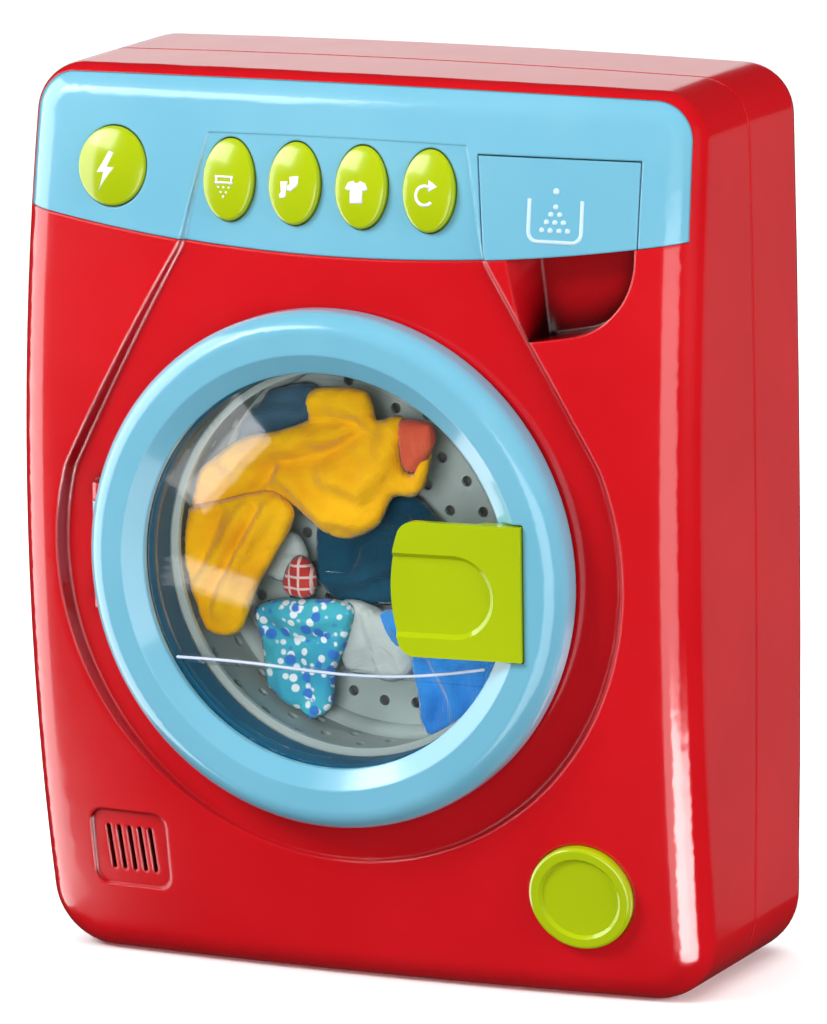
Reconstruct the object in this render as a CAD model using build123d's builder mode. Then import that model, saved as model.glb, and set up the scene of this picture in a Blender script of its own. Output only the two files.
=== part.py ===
"""Toy washing machine: a two-part cabinet with a hinged porthole door, a turning drum driven by
a small motor, sprung push buttons, and a soap drawer that slides.

Millimetres. X points right, Y to the back, Z up. The origin is the centre of the bounding box at
the base. Depths are measured back from the crown of the curved front.
"""

import os
from math import asin, atan, cos, degrees, pi, radians, sin, sqrt

from build123d import *

os.makedirs("parts", exist_ok=True)

# Cabinet form
body_width = 202.0
body_height = 250.0
body_depth = 89.0
handle_reach = 10.5
side_bow = 1.4
top_bow = 1.3
top_corner = 14.0
bottom_corner = 18.0
front_sag = 12.9
side_sag = 4.8
front_round = 10.0
back_round = 9.0
shell_wall = 2.4
seam_depth = 50.0
seam_chamfer = 0.5
tongue_length = 3.0
tongue_wall = 1.2
fit_gap = 0.15

# Valley moulded into the front, which opens out into a round dish behind the door
valley_depth = 3.2
valley_sag = 8.9
valley_slope = 35.0
crease_round_in = 0.8
crease_round_out = 0.6
crease_fade_z = 230.0
slope_match = 0.02
valley_plane = 4.0
valley_reach = 14.0
valley_top = 238.0
valley_top_left = -46.5
valley_top_right = 38.5
valley_neck_z = 204.0
valley_neck_left = -51.5
valley_neck_right = 42.5
dish_radius = 84.5
dish_left_angle = 164.0
dish_right_angle = 22.0
dish_corner = 16.0

# Control panel
panel_wall = 2.0
panel_skin = 2.8
panel_edge_mid = 201.8
panel_edge_side = 211.0
panel_centre_z = 221.0
tab_width = 9.0
tab_wall = 2.0
tab_length = 7.0
tab_root = 4.0
tab_lap = 2.0
tab_places = (-38.0, -8.0, 22.0)
panel_reach = 26.0

# Push buttons
button_gap = 0.4
button_travel = 1.5
button_crown = 2.6
button_dome = 40.0
button_edge = 1.0
button_flange = 1.4
button_flange_wall = 1.2
button_flange_drop = 3.2
program_half_width = 7.5
program_half_height = 11.2
program_first_x = -35.3
program_pitch = 19.9
program_names = ("rinse_button", "socks_button", "shirt_button", "spin_button")
power_x = -71.3
power_z = 222.7
power_half_width = 10.2
power_half_height = 10.9
stem_radius = 2.2
tip_radius = 1.5
tip_gap = 0.08

# Circuit board and its switches
board_drop = 21.0
board_wall = 1.6
board_width = 118.0
board_height = 34.5
board_x = -25.0
board_rise = 5.25
board_boss_radius = 3.0
board_boss_places = ((-80.0, 18.5), (-25.0, 18.5), (30.0, 18.5), (-52.5, -8.0))
board_screw_radius = 1.1
board_screw_head = 2.0
board_screw_grip = 7.0
switch_side = 6.4
switch_height = 4.6
switch_bore_depth = 3.6

# Soap drawer
drawer_top_left = 38.3
drawer_bottom_left = 41.8
drawer_right = 84.3
drawer_top_z = 231.1
drawer_gap = 0.4
drawer_front_wall = 2.2
tray_left = 45.0
tray_right = 81.0
tray_floor_z = 211.4
tray_top_z = 228.0
tray_back = 56.0
tray_wall = 1.5
tray_front_depth = 15.0
runner_gap = 0.4
runner_wall = 1.2
runner_front = 14.0

# Finger recess under the drawer
recess_left_x = 41.3
recess_corner_x = 53.2
recess_corner_z = 181.9
recess_flat_x = 66.0
recess_flat_z = 183.8
recess_arc_x = 79.3
recess_arc_z = 191.3
recess_right_x = 84.3
recess_right_z = 205.0
recess_front = 1.0
recess_back = 15.0
recess_slant = 12.0
recess_draft = 1.0
recess_wall = 1.8

# Vent
vent_x = -70.4
vent_z = 31.4
vent_width = 24.0
vent_height = 22.0
vent_corner = 4.0
vent_sink = 1.0
slit_count = 5
slit_pitch = 3.3
slit_width = 1.4
slit_height = 13.0
slit_lean = 4.0

# Round cap at the lower right
cap_x = 66.2
cap_z = 30.1
cap_radius = 14.7
cap_rise = 2.4
cap_seat = 0.8
cap_rim = 3.0
cap_sink = 0.9
cap_round = 1.1
spigot_radius = 11.0
spigot_length = 5.0
spigot_wall = 1.5
cap_gap = 0.2

# Door
door_x = -3.4
door_z = 117.0
door_radius = 71.4
ring_front = -6.0
ring_back = 3.8
ring_round = 6.0
ring_wall = 2.2
bevel_radius = 60.0
lip_radius = 54.6
lip_front = -3.0
lip_back = -1.0
flange_radius = 58.0
flange_wall = 2.1
seat_gap = 0.1
inner_wall = 60.4
back_ring_wall = 2.0
tube_radius = 54.2
tube_wall = 2.0
tube_back = 12.0
pane_wall = 1.6
pane_crown = 2.2
pane_edge = 0.6
ledge_z = 90.4
ledge_drop = 3.5
ledge_back = 11.0
ledge_radius = 53.4
ring_screw_circle = 64.8
ring_boss_radius = 3.0
ring_screw_radius = 1.3
ring_screw_head = 2.4
ring_screw_count = 4
ring_screw_sink = 1.2

# Door handle
handle_right = 56.5
handle_top = 134.2
handle_bottom = 97.2
handle_left_corner = 23.0
handle_left_bulge = 19.3
handle_corner = 5.0
handle_front_right = -7.2
handle_wall = 2.5
handle_root = 45.0
handle_seat = -3.6
handle_pocket_gap = 0.4
handle_step = 1.0
dish_pull_depth = 1.2
dish_pull_right = 50.0
dish_pull_top = 125.5
dish_pull_bottom = 102.5

# Hinge on the left, with a steel pin
hinge_x = -74.0
hinge_depth = 3.5
pin_radius = 1.0
pin_running_gap = 0.06
pin_fixed_gap = 0.02
knuckle_radius = 2.3
knuckle_gap = 0.4
ear_length = 4.0
hinge_span = 33.0
hinge_z = 118.5
slot_side_gap = 0.9
ear_back = 9.5

# Catch on the right
prong_x = 62.0
prong_z = 115.5
prong_wall = 2.4
prong_height = 7.0
prong_back = 12.0
prong_nose = 0.8
catch_gap = 0.35
catch_wall = 2.4
catch_slot_gap = 1.2
catch_back = 15.0

# Opening in the front shell
mouth_radius = 58.0
collar_wall = 2.2
collar_back = 12.6

# Drum and its drive
drum_radius = 57.0
drum_wall = 1.6
drum_front = 14.0
drum_back = 46.0
drum_lip = 3.0
drum_round = 5.0
hub_radius = 8.0
hub_length = 2.7
hole_radius = 1.5
hole_rows = 3
holes_in_row = 32
back_hole_rings = 5
back_hole_pitch = 9.2
shaft_radius = 2.5
shaft_overhang = 2.2
shaft_gap = 0.05
bush_radius = 5.5
bush_flange = 7.5
bush_flange_wall = 1.2
carrier_side = 104.0
carrier_corner = 12.0
carrier_inset = 1.0
carrier_wall = 2.5
post_spacing = 92.0
post_radius = 4.5
screw_radius = 1.5
screw_head = 3.0
screw_head_height = 1.8
screw_grip = 10.0
thread_gap = 0.02
gear_clearance = 2.0
gear_wall = 5.0
gear_module = 1.25
gear_teeth = 48
pinion_teeth = 12
tooth_addendum = 1.0
tooth_dedendum = 1.5
tooth_tip = 0.75
tooth_root = 2.3
gear_web = 2.0
gear_rim = 4.0
clip_radius = 4.4
clip_wall = 0.8
motor_angle = 0.0
motor_radius = 10.5
motor_flat = 8.0
motor_length = 20.0
motor_bore = 6.0
motor_shaft_radius = 1.0
motor_boss_radius = 3.0
motor_boss = 1.4
bracket_clearance = 1.2
bracket_wall = 2.0
bracket_post_radius = 3.0
bracket_post_out = 9.0
bracket_post_side = 15.0

# Battery bay in the back
bay_bottom = 16.0
bay_height = 50.0
bay_front = 69.5
bay_wall = 1.5
cover_wall = 1.4
cover_rebate = 2.5
cell_radius = 7.25
cell_length = 49.5
cell_nub_radius = 2.7
cell_nub = 1.0
cell_count = 3
cell_gap = 0.35
contact_wall = 0.4
contact_height = 10.0
cover_screw_z = 7.0
cover_boss_radius = 3.7
cover_boss_drop = 1.2
cover_screw_sink = 1.5
cover_screw_head = 1.2
divider_wall = 0.8
divider_height = 5.0
contact_button_radius = 3.0

# Loudspeaker behind the back wall
speaker_x = -58.0
speaker_z = 196.0
speaker_radius = 20.0
speaker_rim = 2.0
speaker_cone_depth = 5.0
magnet_radius = 11.0
magnet_length = 6.0
grille_hole = 1.2
grille_pitch = 5.0
grille_rings = 3
speaker_clip_wall = 1.6

# Shell screws
shell_screw_x = 90.5
shell_screw_low = 22.0
shell_screw_high = 232.0
shell_boss_radius = 4.5
shell_rib = 2.4
shell_boss_front = 22.0
shell_screw_seat = 6.0
shell_screw_grip = 12.0

# Doll's laundry in the drum: outlines as seen from the front, each in its own layer
cloth_gap = 0.3
cloth_wall = 2.2
shirt_front = 19.5
shirt_layer = 8.5
shirt_pitch = 13.0
shirt_turn = 25.0
shirt_points = (
    (-62, 112), (-58, 135), (-41, 146), (-23, 160), (-14, 165), (-3, 162), (9, 152), (15, 141),
    (5, 130), (-10, 119), (-24, 129), (-31, 126), (-42, 101), (-51, 89), (-60, 97),
)
small_layer = 7.0
small_pitch = 9.0
print_turn = -20.0
print_points = ((-44, 88), (-38, 99), (-26, 103), (-12, 100), (-11, 86), (-14, 60), (-44, 60))
towel_turn = 40.0
towel_points = ((1, 92), (12, 102), (27, 100), (36, 88), (34, 60), (-4, 60), (-3, 80))
sock_turn = 10.0
sock_points = ((-34, 103.4), (-34, 113), (-25, 113), (-25, 103.4))
trousers_pitch = 12.0
trousers_turn = -35.0
trousers_points = (
    (-50, 142), (-46, 155), (-36, 163), (-18, 164), (-22, 146), (0, 134), (14, 129), (18, 104),
    (-3, 97), (-30, 101), (-34, 122),
)

margin = 5.0
cut_past = 1.0
edge_bevel = 45.0
holes_per_ring = 6
crown_y = -(body_depth + handle_reach) / 2 + handle_reach
back_y = crown_y + body_depth
half_width = body_width / 2
half_height = body_height / 2
program_count = len(program_names)
program_places = [program_first_x + program_pitch * i for i in range(program_count)]


def at(depth):
    """The Y of a depth behind the crown of the front."""
    return crown_y + depth


def front_plane(depth):
    """An upright plane at a depth: X right, Z up, facing the front."""
    return Plane(origin=(0, at(depth), 0), x_dir=(1, 0, 0), z_dir=(0, -1, 0))


def door_plane(depth):
    """The same, centred on the door."""
    return Plane(origin=(door_x, at(depth), door_z), x_dir=(1, 0, 0), z_dir=(0, -1, 0))


# Section through the door's and drum's common axis: X is the radius, Y runs to the back
turning_plane = Plane(origin=(door_x, crown_y, door_z))
turning_axis = Axis((door_x, crown_y, door_z), (0, 1, 0))


def sag_radius(half_span, sag):
    """Radius of the arc that falls by sag over half its span."""
    return (half_span**2 + sag**2) / (2 * sag)


def skin_y(x, z, depth=0.0, sag=front_sag):
    """Y of the doubly curved front at a place, or of a surface set back from it."""
    upright = sag_radius(half_height, sag)
    across = sag_radius(half_width, side_sag)
    fall = upright - sqrt(upright**2 - (z - half_height) ** 2)
    return at(depth) + across - sqrt((across - fall) ** 2 - x**2)


def crown_solid(depth, sag=front_sag):
    """Everything behind the doubly curved front, which is an upright arc swung about a far axis."""
    upright = sag_radius(half_height, sag)
    across = sag_radius(half_width, side_sag)
    half_turn = degrees(asin((half_width + margin) / (across - body_depth - margin)))
    reach = half_height + margin
    end_fall = upright - sqrt(upright**2 - reach**2)
    swing = radians(half_turn)
    centre = (0, at(depth) + across, 0)
    section = Plane(
        origin=centre,
        x_dir=(-sin(swing), -cos(swing), 0),
        z_dir=(-cos(swing), sin(swing), 0),
    )
    with BuildPart() as solid:
        with BuildSketch(section):
            with BuildLine():
                low = (across - end_fall, half_height - reach)
                high = (across - end_fall, half_height + reach)
                far = across - body_depth - margin
                ThreePointArc(low, (across, half_height), high)
                Polyline(high, (far, half_height + reach), (far, half_height - reach), low)
            make_face()
        revolve(axis=Axis(centre, (0, 0, 1)), revolution_arc=2 * half_turn)
    return solid.part


def body_form(inset):
    """The outer form of the cabinet, or the same form set in all round by a wall."""
    crown = crown_solid(inset)
    side_arc = sag_radius(half_height, side_bow)
    top_arc = sag_radius(half_width, top_bow)
    with BuildPart() as form:
        with BuildSketch(front_plane(body_depth - inset)) as outline:
            with Locations((0, half_height)):
                Rectangle(2 * body_width, body_height - 2 * inset)
            for centre, arc in (
                ((half_width - side_arc, half_height), side_arc),
                ((side_arc - half_width, half_height), side_arc),
                ((0, body_height - top_arc), top_arc),
            ):
                with Locations(centre):
                    Circle(arc - inset, mode=Mode.INTERSECT)
            fillet(outline.vertices().group_by(Axis.Y)[-1], top_corner - inset)
            fillet(outline.vertices().group_by(Axis.Y)[0], bottom_corner - inset)
        extrude(amount=body_depth + margin)
        add(crown, mode=Mode.INTERSECT)
        fillet(form.faces().sort_by(Axis.Y)[0].edges(), front_round - inset)
        fillet(form.faces().sort_by(Axis.Y)[-1].edges(), back_round - inset)
    return form.part


def valley_outline(grow):
    """The dish round the door and the valley that rises from it into the panel."""
    left = radians(dish_left_angle)
    right = radians(dish_right_angle)
    dish_left = (door_x + dish_radius * cos(left), door_z + dish_radius * sin(left))
    dish_right = (door_x + dish_radius * cos(right), door_z + dish_radius * sin(right))
    with BuildSketch(front_plane(valley_plane)) as region:
        with BuildLine():
            Polyline(
                dish_right,
                (valley_neck_right, valley_neck_z),
                (valley_top_right, valley_top),
                (valley_top_left, valley_top),
                (valley_neck_left, valley_neck_z),
                dish_left,
            )
            ThreePointArc(dish_left, (door_x, door_z - dish_radius), dish_right)
        make_face()
        corners = region.vertices().filter_by(lambda v: v.Y < valley_neck_z + 1)
        fillet(corners, dish_corner)
        if grow:
            offset(amount=grow)
    return region.sketch


def valley_cut(grow, floor_depth):
    """What the valley takes away, down to its own gentler curve."""
    floor = crown_solid(floor_depth, valley_sag)
    region = valley_outline(grow)
    with BuildPart() as cut:
        extrude(region, amount=valley_plane + margin, taper=-valley_slope)
        extrude(region, amount=valley_reach, dir=(0, 1, 0), taper=valley_slope)
        add(floor, mode=Mode.SUBTRACT)
    return cut.part


def crease(solid, x, z, depth, sag):
    """The edges where the skin at a place meets the valley's walls, up to where the valley fades."""
    skin = solid.faces().sort_by_distance((x, skin_y(x, z, depth, sag), z))[0]
    slope = sin(radians(valley_slope))
    walls = [
        face for face in solid.faces()
        if abs(abs(face.normal_at().Y) - slope) < slope_match and face.center().Z < crease_fade_z
    ]
    wall_edges = [edge for face in walls for edge in face.edges()]
    return [edge for edge in skin.edges() if any(edge.is_same(other) for other in wall_edges)]


def outer_form():
    """The cabinet's outside, with the valley sunk in it and its edges left crisp."""
    cut = valley_cut(0, valley_depth)
    form = body_form(0)
    with BuildPart() as outer:
        add(form)
        add(cut, mode=Mode.SUBTRACT)
    return outer.part


def rounded_creases(form):
    """The outside with both edges of the valley's walls rounded, as on the red front."""
    with BuildPart() as rounded:
        add(form)
        fillet(crease(rounded, door_x, door_z, valley_depth, valley_sag), crease_round_in)
        fillet(crease(rounded, cap_x, cap_z, 0, front_sag), crease_round_out)
    return rounded.part


def inner_form(wall):
    """The room inside a skin of even wall."""
    cut = valley_cut(wall, valley_depth + wall)
    form = body_form(wall)
    with BuildPart() as inner:
        add(form)
        add(cut, mode=Mode.SUBTRACT)
    return inner.part


def above_edge(gap):
    """Everything above the control panel's curved lower edge, as far back as the panel reaches."""
    side = half_width + margin
    with BuildPart() as above:
        with BuildSketch(front_plane(panel_reach)):
            with BuildLine():
                ThreePointArc(
                    (-half_width, panel_edge_side + gap),
                    (0, panel_edge_mid + gap),
                    (half_width, panel_edge_side + gap),
                )
                Polyline(
                    (half_width, panel_edge_side + gap),
                    (side, panel_edge_side + gap),
                    (side, body_height + margin),
                    (-side, body_height + margin),
                    (-side, panel_edge_side + gap),
                    (-half_width, panel_edge_side + gap),
                )
            make_face()
        extrude(amount=panel_reach + margin)
    return above.part


def panel_zone(gap):
    """Where the control panel lies: above its curved lower edge and ahead of the joint line."""
    behind = crown_solid(panel_skin - gap)
    above = above_edge(gap)
    with BuildPart() as zone:
        add(above)
        add(behind, mode=Mode.SUBTRACT)
    return zone.part


def panel_edge(x):
    """Height of the panel's lower edge at a place across the front."""
    rise = panel_edge_side - panel_edge_mid
    arc = sag_radius(half_width, rise)
    return panel_edge_mid + arc - sqrt(arc**2 - x**2)


def skin_slope(span, half_span, sag):
    """How fast the front falls back at a distance from its crown."""
    return span / sqrt(sag_radius(half_span, sag) ** 2 - span**2)


def skin_plane(x, z):
    """A plane that lies on the front at a place and faces outwards."""
    across = skin_slope(x, half_width, side_sag)
    upright = skin_slope(z - half_height, half_height, front_sag)
    return Plane(origin=(x, skin_y(x, z), z), x_dir=(1, across, 0), z_dir=(across, -1, upright))


def button_plane(x, z, depth=0.0, sag=front_sag):
    """All buttons press square to the circuit board, which leans back with the panel."""
    lean = atan(skin_slope(panel_centre_z - half_height, half_height, front_sag))
    origin = (x, skin_y(x, z, depth, sag), z)
    return Plane(origin=origin, x_dir=(1, 0, 0), z_dir=(0, -cos(lean), sin(lean)))


panel_plane = button_plane(0, panel_centre_z)
board_front = panel_plane.offset(-board_drop)
power_plane = button_plane(power_x, power_z)
program_planes = [
    button_plane(x, panel_centre_z, valley_depth, valley_sag) for x in program_places
]
button_planes = [power_plane] + program_planes


def on_board(plane):
    """Place on the board behind a button, and the button plane's height over the board."""
    place = board_front.to_local_coords(plane.origin)
    return (place.X, place.Y), place.Z


def boss_rise(place):
    """Height over the board at which a boss meets the middle of the panel's wall."""
    z = panel_centre_z + place[1]
    return on_board(button_plane(place[0], z, panel_wall / 2))[1]


def shifted(z_low, z_high, x_low, x_high, depth_front, depth_back):
    """A plain block between two places."""
    with BuildPart() as block:
        with BuildSketch(front_plane(depth_back)):
            with Locations(((x_low + x_high) / 2, (z_low + z_high) / 2)):
                Rectangle(x_high - x_low, z_high - z_low)
        extrude(amount=depth_back - depth_front)
    return block.part


def turned(*points):
    """A ring turned about the door's axis from (radius, depth) corners."""
    with BuildPart() as ring:
        with BuildSketch(turning_plane):
            with BuildLine():
                Polyline(*points, close=True)
            make_face()
        revolve(axis=turning_axis)
    return ring.part


def rod(x, z, radius, depth_front, depth_back):
    """A round bar that runs straight back."""
    with BuildPart() as bar:
        with BuildSketch(front_plane(depth_back)):
            with Locations((x, z)):
                Circle(radius)
        extrude(amount=depth_back - depth_front)
    return bar.part


def screw(x, z, radius, head_radius, head_height, seat, grip):
    """A pan-head screw put in from the back, its head lying on the seat."""
    with BuildPart() as fastener:
        add(rod(x, z, radius, seat - grip, seat))
        add(rod(x, z, head_radius, seat, seat + head_height))
        slot = head_radius / 4
        with BuildSketch(front_plane(seat + head_height)):
            with Locations((x, z)):
                Rectangle(2 * head_radius, slot)
        extrude(amount=head_height / 2, mode=Mode.SUBTRACT)
    return fastener.part


def screw_post(x, z, grow, depth_front, depth_back):
    """A shell screw's boss with the rib that ties it to the side wall."""
    wall = half_width - shell_wall / 2
    low, high = sorted((x, wall if x > 0 else -wall))
    with BuildPart() as post:
        add(rod(x, z, shell_boss_radius + grow, depth_front, depth_back))
        add(shifted(z - shell_rib / 2 - grow, z + shell_rib / 2 + grow, low, high, depth_front, depth_back))
    return post.part


def save(piece, name):
    piece.label = name
    export_step(piece, f"parts/{name}.step")


outer = outer_form()
rounded_outer = rounded_creases(outer)
inner = inner_form(shell_wall)

# Places that several pieces share
runner_bottom_z = tray_floor_z - runner_gap - runner_wall
carrier_front = seam_depth - carrier_inset
carrier_back = carrier_front + carrier_wall
gear_front = carrier_back + gear_clearance
gear_back = gear_front + gear_wall
bracket_front = gear_back + bracket_clearance
motor_front = bracket_front + bracket_wall
posts = [
    (door_x + i * post_spacing / 2, door_z + k * post_spacing / 2) for i in (-1, 1) for k in (-1, 1)
]
shell_screws_at = [
    (i * shell_screw_x, z) for i in (-1, 1) for z in (shell_screw_low, shell_screw_high)
]
back_face = body_depth - shell_wall
hinge_low = hinge_z - hinge_span / 2
hinge_high = hinge_z + hinge_span / 2
hinge_plane = Plane(origin=(hinge_x, at(hinge_depth), 0))


def upright_rod(radius, z_low, z_high):
    """A round bar on the hinge's axis."""
    with BuildPart() as bar:
        with BuildSketch(hinge_plane.offset(z_low)):
            Circle(radius)
        extrude(amount=z_high - z_low)
    return bar.part


def recess_form(grow, back):
    """The finger recess: its left wall slants in, its other walls run nearly straight back."""
    with BuildPart() as form:
        for depth, slant, draft in ((recess_front, 0, 0), (back, recess_slant, recess_draft)):
            with BuildSketch(front_plane(depth)):
                with BuildLine():
                    left = (recess_left_x + slant - grow, runner_bottom_z)
                    corner = (recess_corner_x + slant / 4 - grow, recess_corner_z + draft - grow)
                    flat = (recess_flat_x, recess_flat_z + draft - grow)
                    bend = (recess_arc_x - draft / 2 + grow / 2, recess_arc_z + draft / 2 - grow / 2)
                    right = (recess_right_x - draft + grow, recess_right_z)
                    top = (recess_right_x - draft + grow, runner_bottom_z)
                    Polyline(top, left, corner, flat)
                    ThreePointArc(flat, bend, right)
                    Line(right, top)
                make_face()
        loft(ruled=True)
    return form.part


def gear_form(teeth, x, z, phase):
    """A spur gear blank with straight-sided teeth, its first tooth at the phase angle."""
    pitch_radius = gear_module * teeth / 2
    tip = pitch_radius + tooth_addendum
    root = pitch_radius - tooth_dedendum
    corners = []
    for i in range(teeth):
        middle = phase + 2 * pi * i / teeth
        for radius, half in ((root, -tooth_root), (tip, -tooth_tip), (tip, tooth_tip), (root, tooth_root)):
            turn = middle + half / 2 / radius
            corners.append((x + radius * cos(turn), z + radius * sin(turn)))
    with BuildPart() as gear:
        with BuildSketch(front_plane(gear_back)):
            with BuildLine():
                Polyline(*corners, close=True)
            make_face()
        extrude(amount=gear_wall)
    return gear.part


def laundry(points, turn, pitch, front, layer):
    """A folded cloth: even waves across the folds, cut to the outline the cloth shows."""
    across = radians(turn)
    run = (-sin(across), 0, cos(across))
    reach = drum_radius + pitch
    start = (door_x - run[0] * reach, at(front), door_z - run[2] * reach)
    folds = Plane(origin=start, x_dir=(cos(across), 0, sin(across)), z_dir=run)
    wave = (layer - cloth_wall) / 2
    count = 2 * int(reach / pitch)
    low, high = wave, wave + cloth_wall
    with BuildPart() as cloth:
        with BuildSketch(folds):
            with BuildLine():
                for i in range(count):
                    x = (i - count / 2) * pitch
                    side = wave if i % 2 else -wave
                    for y in (low, high):
                        ThreePointArc((x, y), (x + pitch / 2, y + side), (x + pitch, y))
                edge = count / 2 * pitch
                Line((-edge, low), (-edge, high))
                Line((edge, low), (edge, high))
            make_face()
        extrude(amount=2 * reach)
        with BuildSketch(front_plane(front + layer + margin)):
            with BuildLine():
                Polyline(*points, close=True)
            make_face()
        extrude(amount=layer + 2 * margin, mode=Mode.INTERSECT)
        with BuildSketch(door_plane(front + layer + margin)):
            Circle(drum_radius - drum_wall - cloth_gap)
        extrude(amount=layer + 2 * margin, mode=Mode.INTERSECT)
    return cloth.part


# Front shell: everything ahead of the joint, open where the control panel sits
zone = panel_zone(0)
vent_floor = crown_solid(vent_sink)
with BuildPart() as vent_sunk:
    with BuildSketch(front_plane(panel_reach)):
        with Locations((vent_x, vent_z)):
            RectangleRounded(vent_width, vent_height, vent_corner)
    extrude(amount=panel_reach + margin)
    add(vent_floor, mode=Mode.SUBTRACT)
hollow = body_form(shell_wall)
above = above_edge(0)
with BuildPart() as panel_room:
    add(hollow)
    add(above, mode=Mode.INTERSECT)
with BuildPart() as front_room:
    add(inner)
    add(panel_room.part)
    add(turned(
        (mouth_radius, 0), (mouth_radius + collar_wall, 0),
        (mouth_radius + collar_wall, collar_back), (mouth_radius, collar_back),
    ), mode=Mode.SUBTRACT)
    for x, z in posts:
        add(rod(x, z, post_radius, 0, carrier_front), mode=Mode.SUBTRACT)
    for x, z in shell_screws_at:
        add(screw_post(x, z, 0, shell_boss_front, seam_depth), mode=Mode.SUBTRACT)
    add(recess_form(recess_wall, recess_back + recess_wall), mode=Mode.SUBTRACT)
with BuildPart() as front_shell:
    add(rounded_outer)
    add(shifted(-margin, body_height + margin, -body_width, body_width, seam_depth, 2 * body_depth),
        mode=Mode.SUBTRACT)
    chamfer(front_shell.faces().sort_by(Axis.Y)[-1].edges(), seam_chamfer)
    add(front_room.part, mode=Mode.SUBTRACT)
    add(zone, mode=Mode.SUBTRACT)
    add(recess_form(0, recess_back), mode=Mode.SUBTRACT)
    add(rod(door_x, door_z, mouth_radius, -margin, collar_back + margin), mode=Mode.SUBTRACT)
    slot_half = knuckle_radius + slot_side_gap
    add(shifted(hinge_low, hinge_high, hinge_x - slot_half, hinge_x + slot_half, 0,
                ear_back + cut_past), mode=Mode.SUBTRACT)
    for low, high in (
        (hinge_low - cut_past, hinge_low + ear_length), (hinge_high - ear_length, hinge_high + cut_past),
    ):
        add(upright_rod(knuckle_radius, low, high))
        add(shifted(low, high, hinge_x - knuckle_radius, hinge_x + knuckle_radius, hinge_depth, ear_back))
    add(upright_rod(pin_radius + pin_fixed_gap, hinge_low, hinge_high), mode=Mode.SUBTRACT)
    add(shifted(
        prong_z - prong_height / 2 - catch_slot_gap, prong_z + prong_height / 2 + catch_slot_gap,
        prong_x - prong_wall / 2 - catch_slot_gap, prong_x + prong_wall / 2 + prong_nose + catch_slot_gap,
        -margin, catch_back,
    ), mode=Mode.SUBTRACT)
    for x, z in posts:
        add(rod(x, z, screw_radius + thread_gap, carrier_front - screw_grip, carrier_front + cut_past),
            mode=Mode.SUBTRACT)
    for x, z in shell_screws_at:
        add(rod(x, z, screw_radius + thread_gap, seam_depth - shell_screw_grip,
                seam_depth + cut_past),
            mode=Mode.SUBTRACT)
    cap_plane = skin_plane(cap_x, cap_z)
    with BuildSketch(cap_plane.offset(-cap_seat)):
        Circle(cap_radius + cap_gap)
    extrude(amount=margin, mode=Mode.SUBTRACT)
    with BuildSketch(cap_plane):
        Circle(spigot_radius + cap_gap)
    extrude(amount=-2 * margin, mode=Mode.SUBTRACT)
    add(vent_sunk.part, mode=Mode.SUBTRACT)
    with BuildSketch(front_plane(panel_reach)):
        with Locations(*[
            Location((vent_x + (i - (slit_count - 1) / 2) * slit_pitch, vent_z, 0), (0, 0, slit_lean))
            for i in range(slit_count)
        ]):
            SlotOverall(slit_height, slit_width, rotation=90)
    extrude(amount=panel_reach + margin, mode=Mode.SUBTRACT)
save(front_shell.part, "front_shell")

# Rear shell: the deep tray behind the joint, with a tongue that locates it in the front shell
bay_inner_width = cell_length + cell_nub + 2 * (contact_wall + cell_gap)
bay_width = bay_inner_width + 2 * bay_wall
bay_mid_z = bay_bottom + bay_height / 2
bay_hole_low = bay_bottom + bay_wall
bay_hole_high = bay_bottom + bay_height - bay_wall
cover_low = bay_hole_low - cover_rebate
cover_high = bay_hole_high + cover_screw_z + cover_boss_radius + cover_rebate
cover_half = bay_inner_width / 2 + cover_rebate
cover_depth = body_depth - cover_wall
cover_screw_at = (0, bay_hole_high + cover_screw_z)
tongue_outer = body_form(shell_wall + fit_gap)
tongue_inner = body_form(shell_wall + fit_gap + tongue_wall)
with BuildPart() as rear_room:
    add(inner)
    for x, z in shell_screws_at:
        add(screw_post(x, z, 0, seam_depth, body_depth), mode=Mode.SUBTRACT)
    add(rod(speaker_x, speaker_z, speaker_radius + fit_gap + speaker_clip_wall,
            back_face - speaker_cone_depth, body_depth), mode=Mode.SUBTRACT)
    add(rod(speaker_x, speaker_z, speaker_radius + fit_gap, back_face - 2 * speaker_cone_depth, back_face))
    add(rod(*cover_screw_at, cover_boss_radius + fit_gap + bay_wall, back_face - screw_grip, body_depth),
        mode=Mode.SUBTRACT)
with BuildPart() as tongue_root:
    add(inner)
    add(shifted(-margin, body_height + margin, -body_width, body_width,
                seam_depth, seam_depth + tongue_length), mode=Mode.INTERSECT)
with BuildPart() as tongue:
    add(tongue_outer)
    add(shifted(-margin, body_height + margin, -body_width, body_width,
                seam_depth - tongue_length, seam_depth), mode=Mode.INTERSECT)
    for x, z in shell_screws_at:
        add(screw_post(x, z, fit_gap, 0, seam_depth), mode=Mode.SUBTRACT)
    add(tongue_root.part)
    add(tongue_inner, mode=Mode.SUBTRACT)
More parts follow.
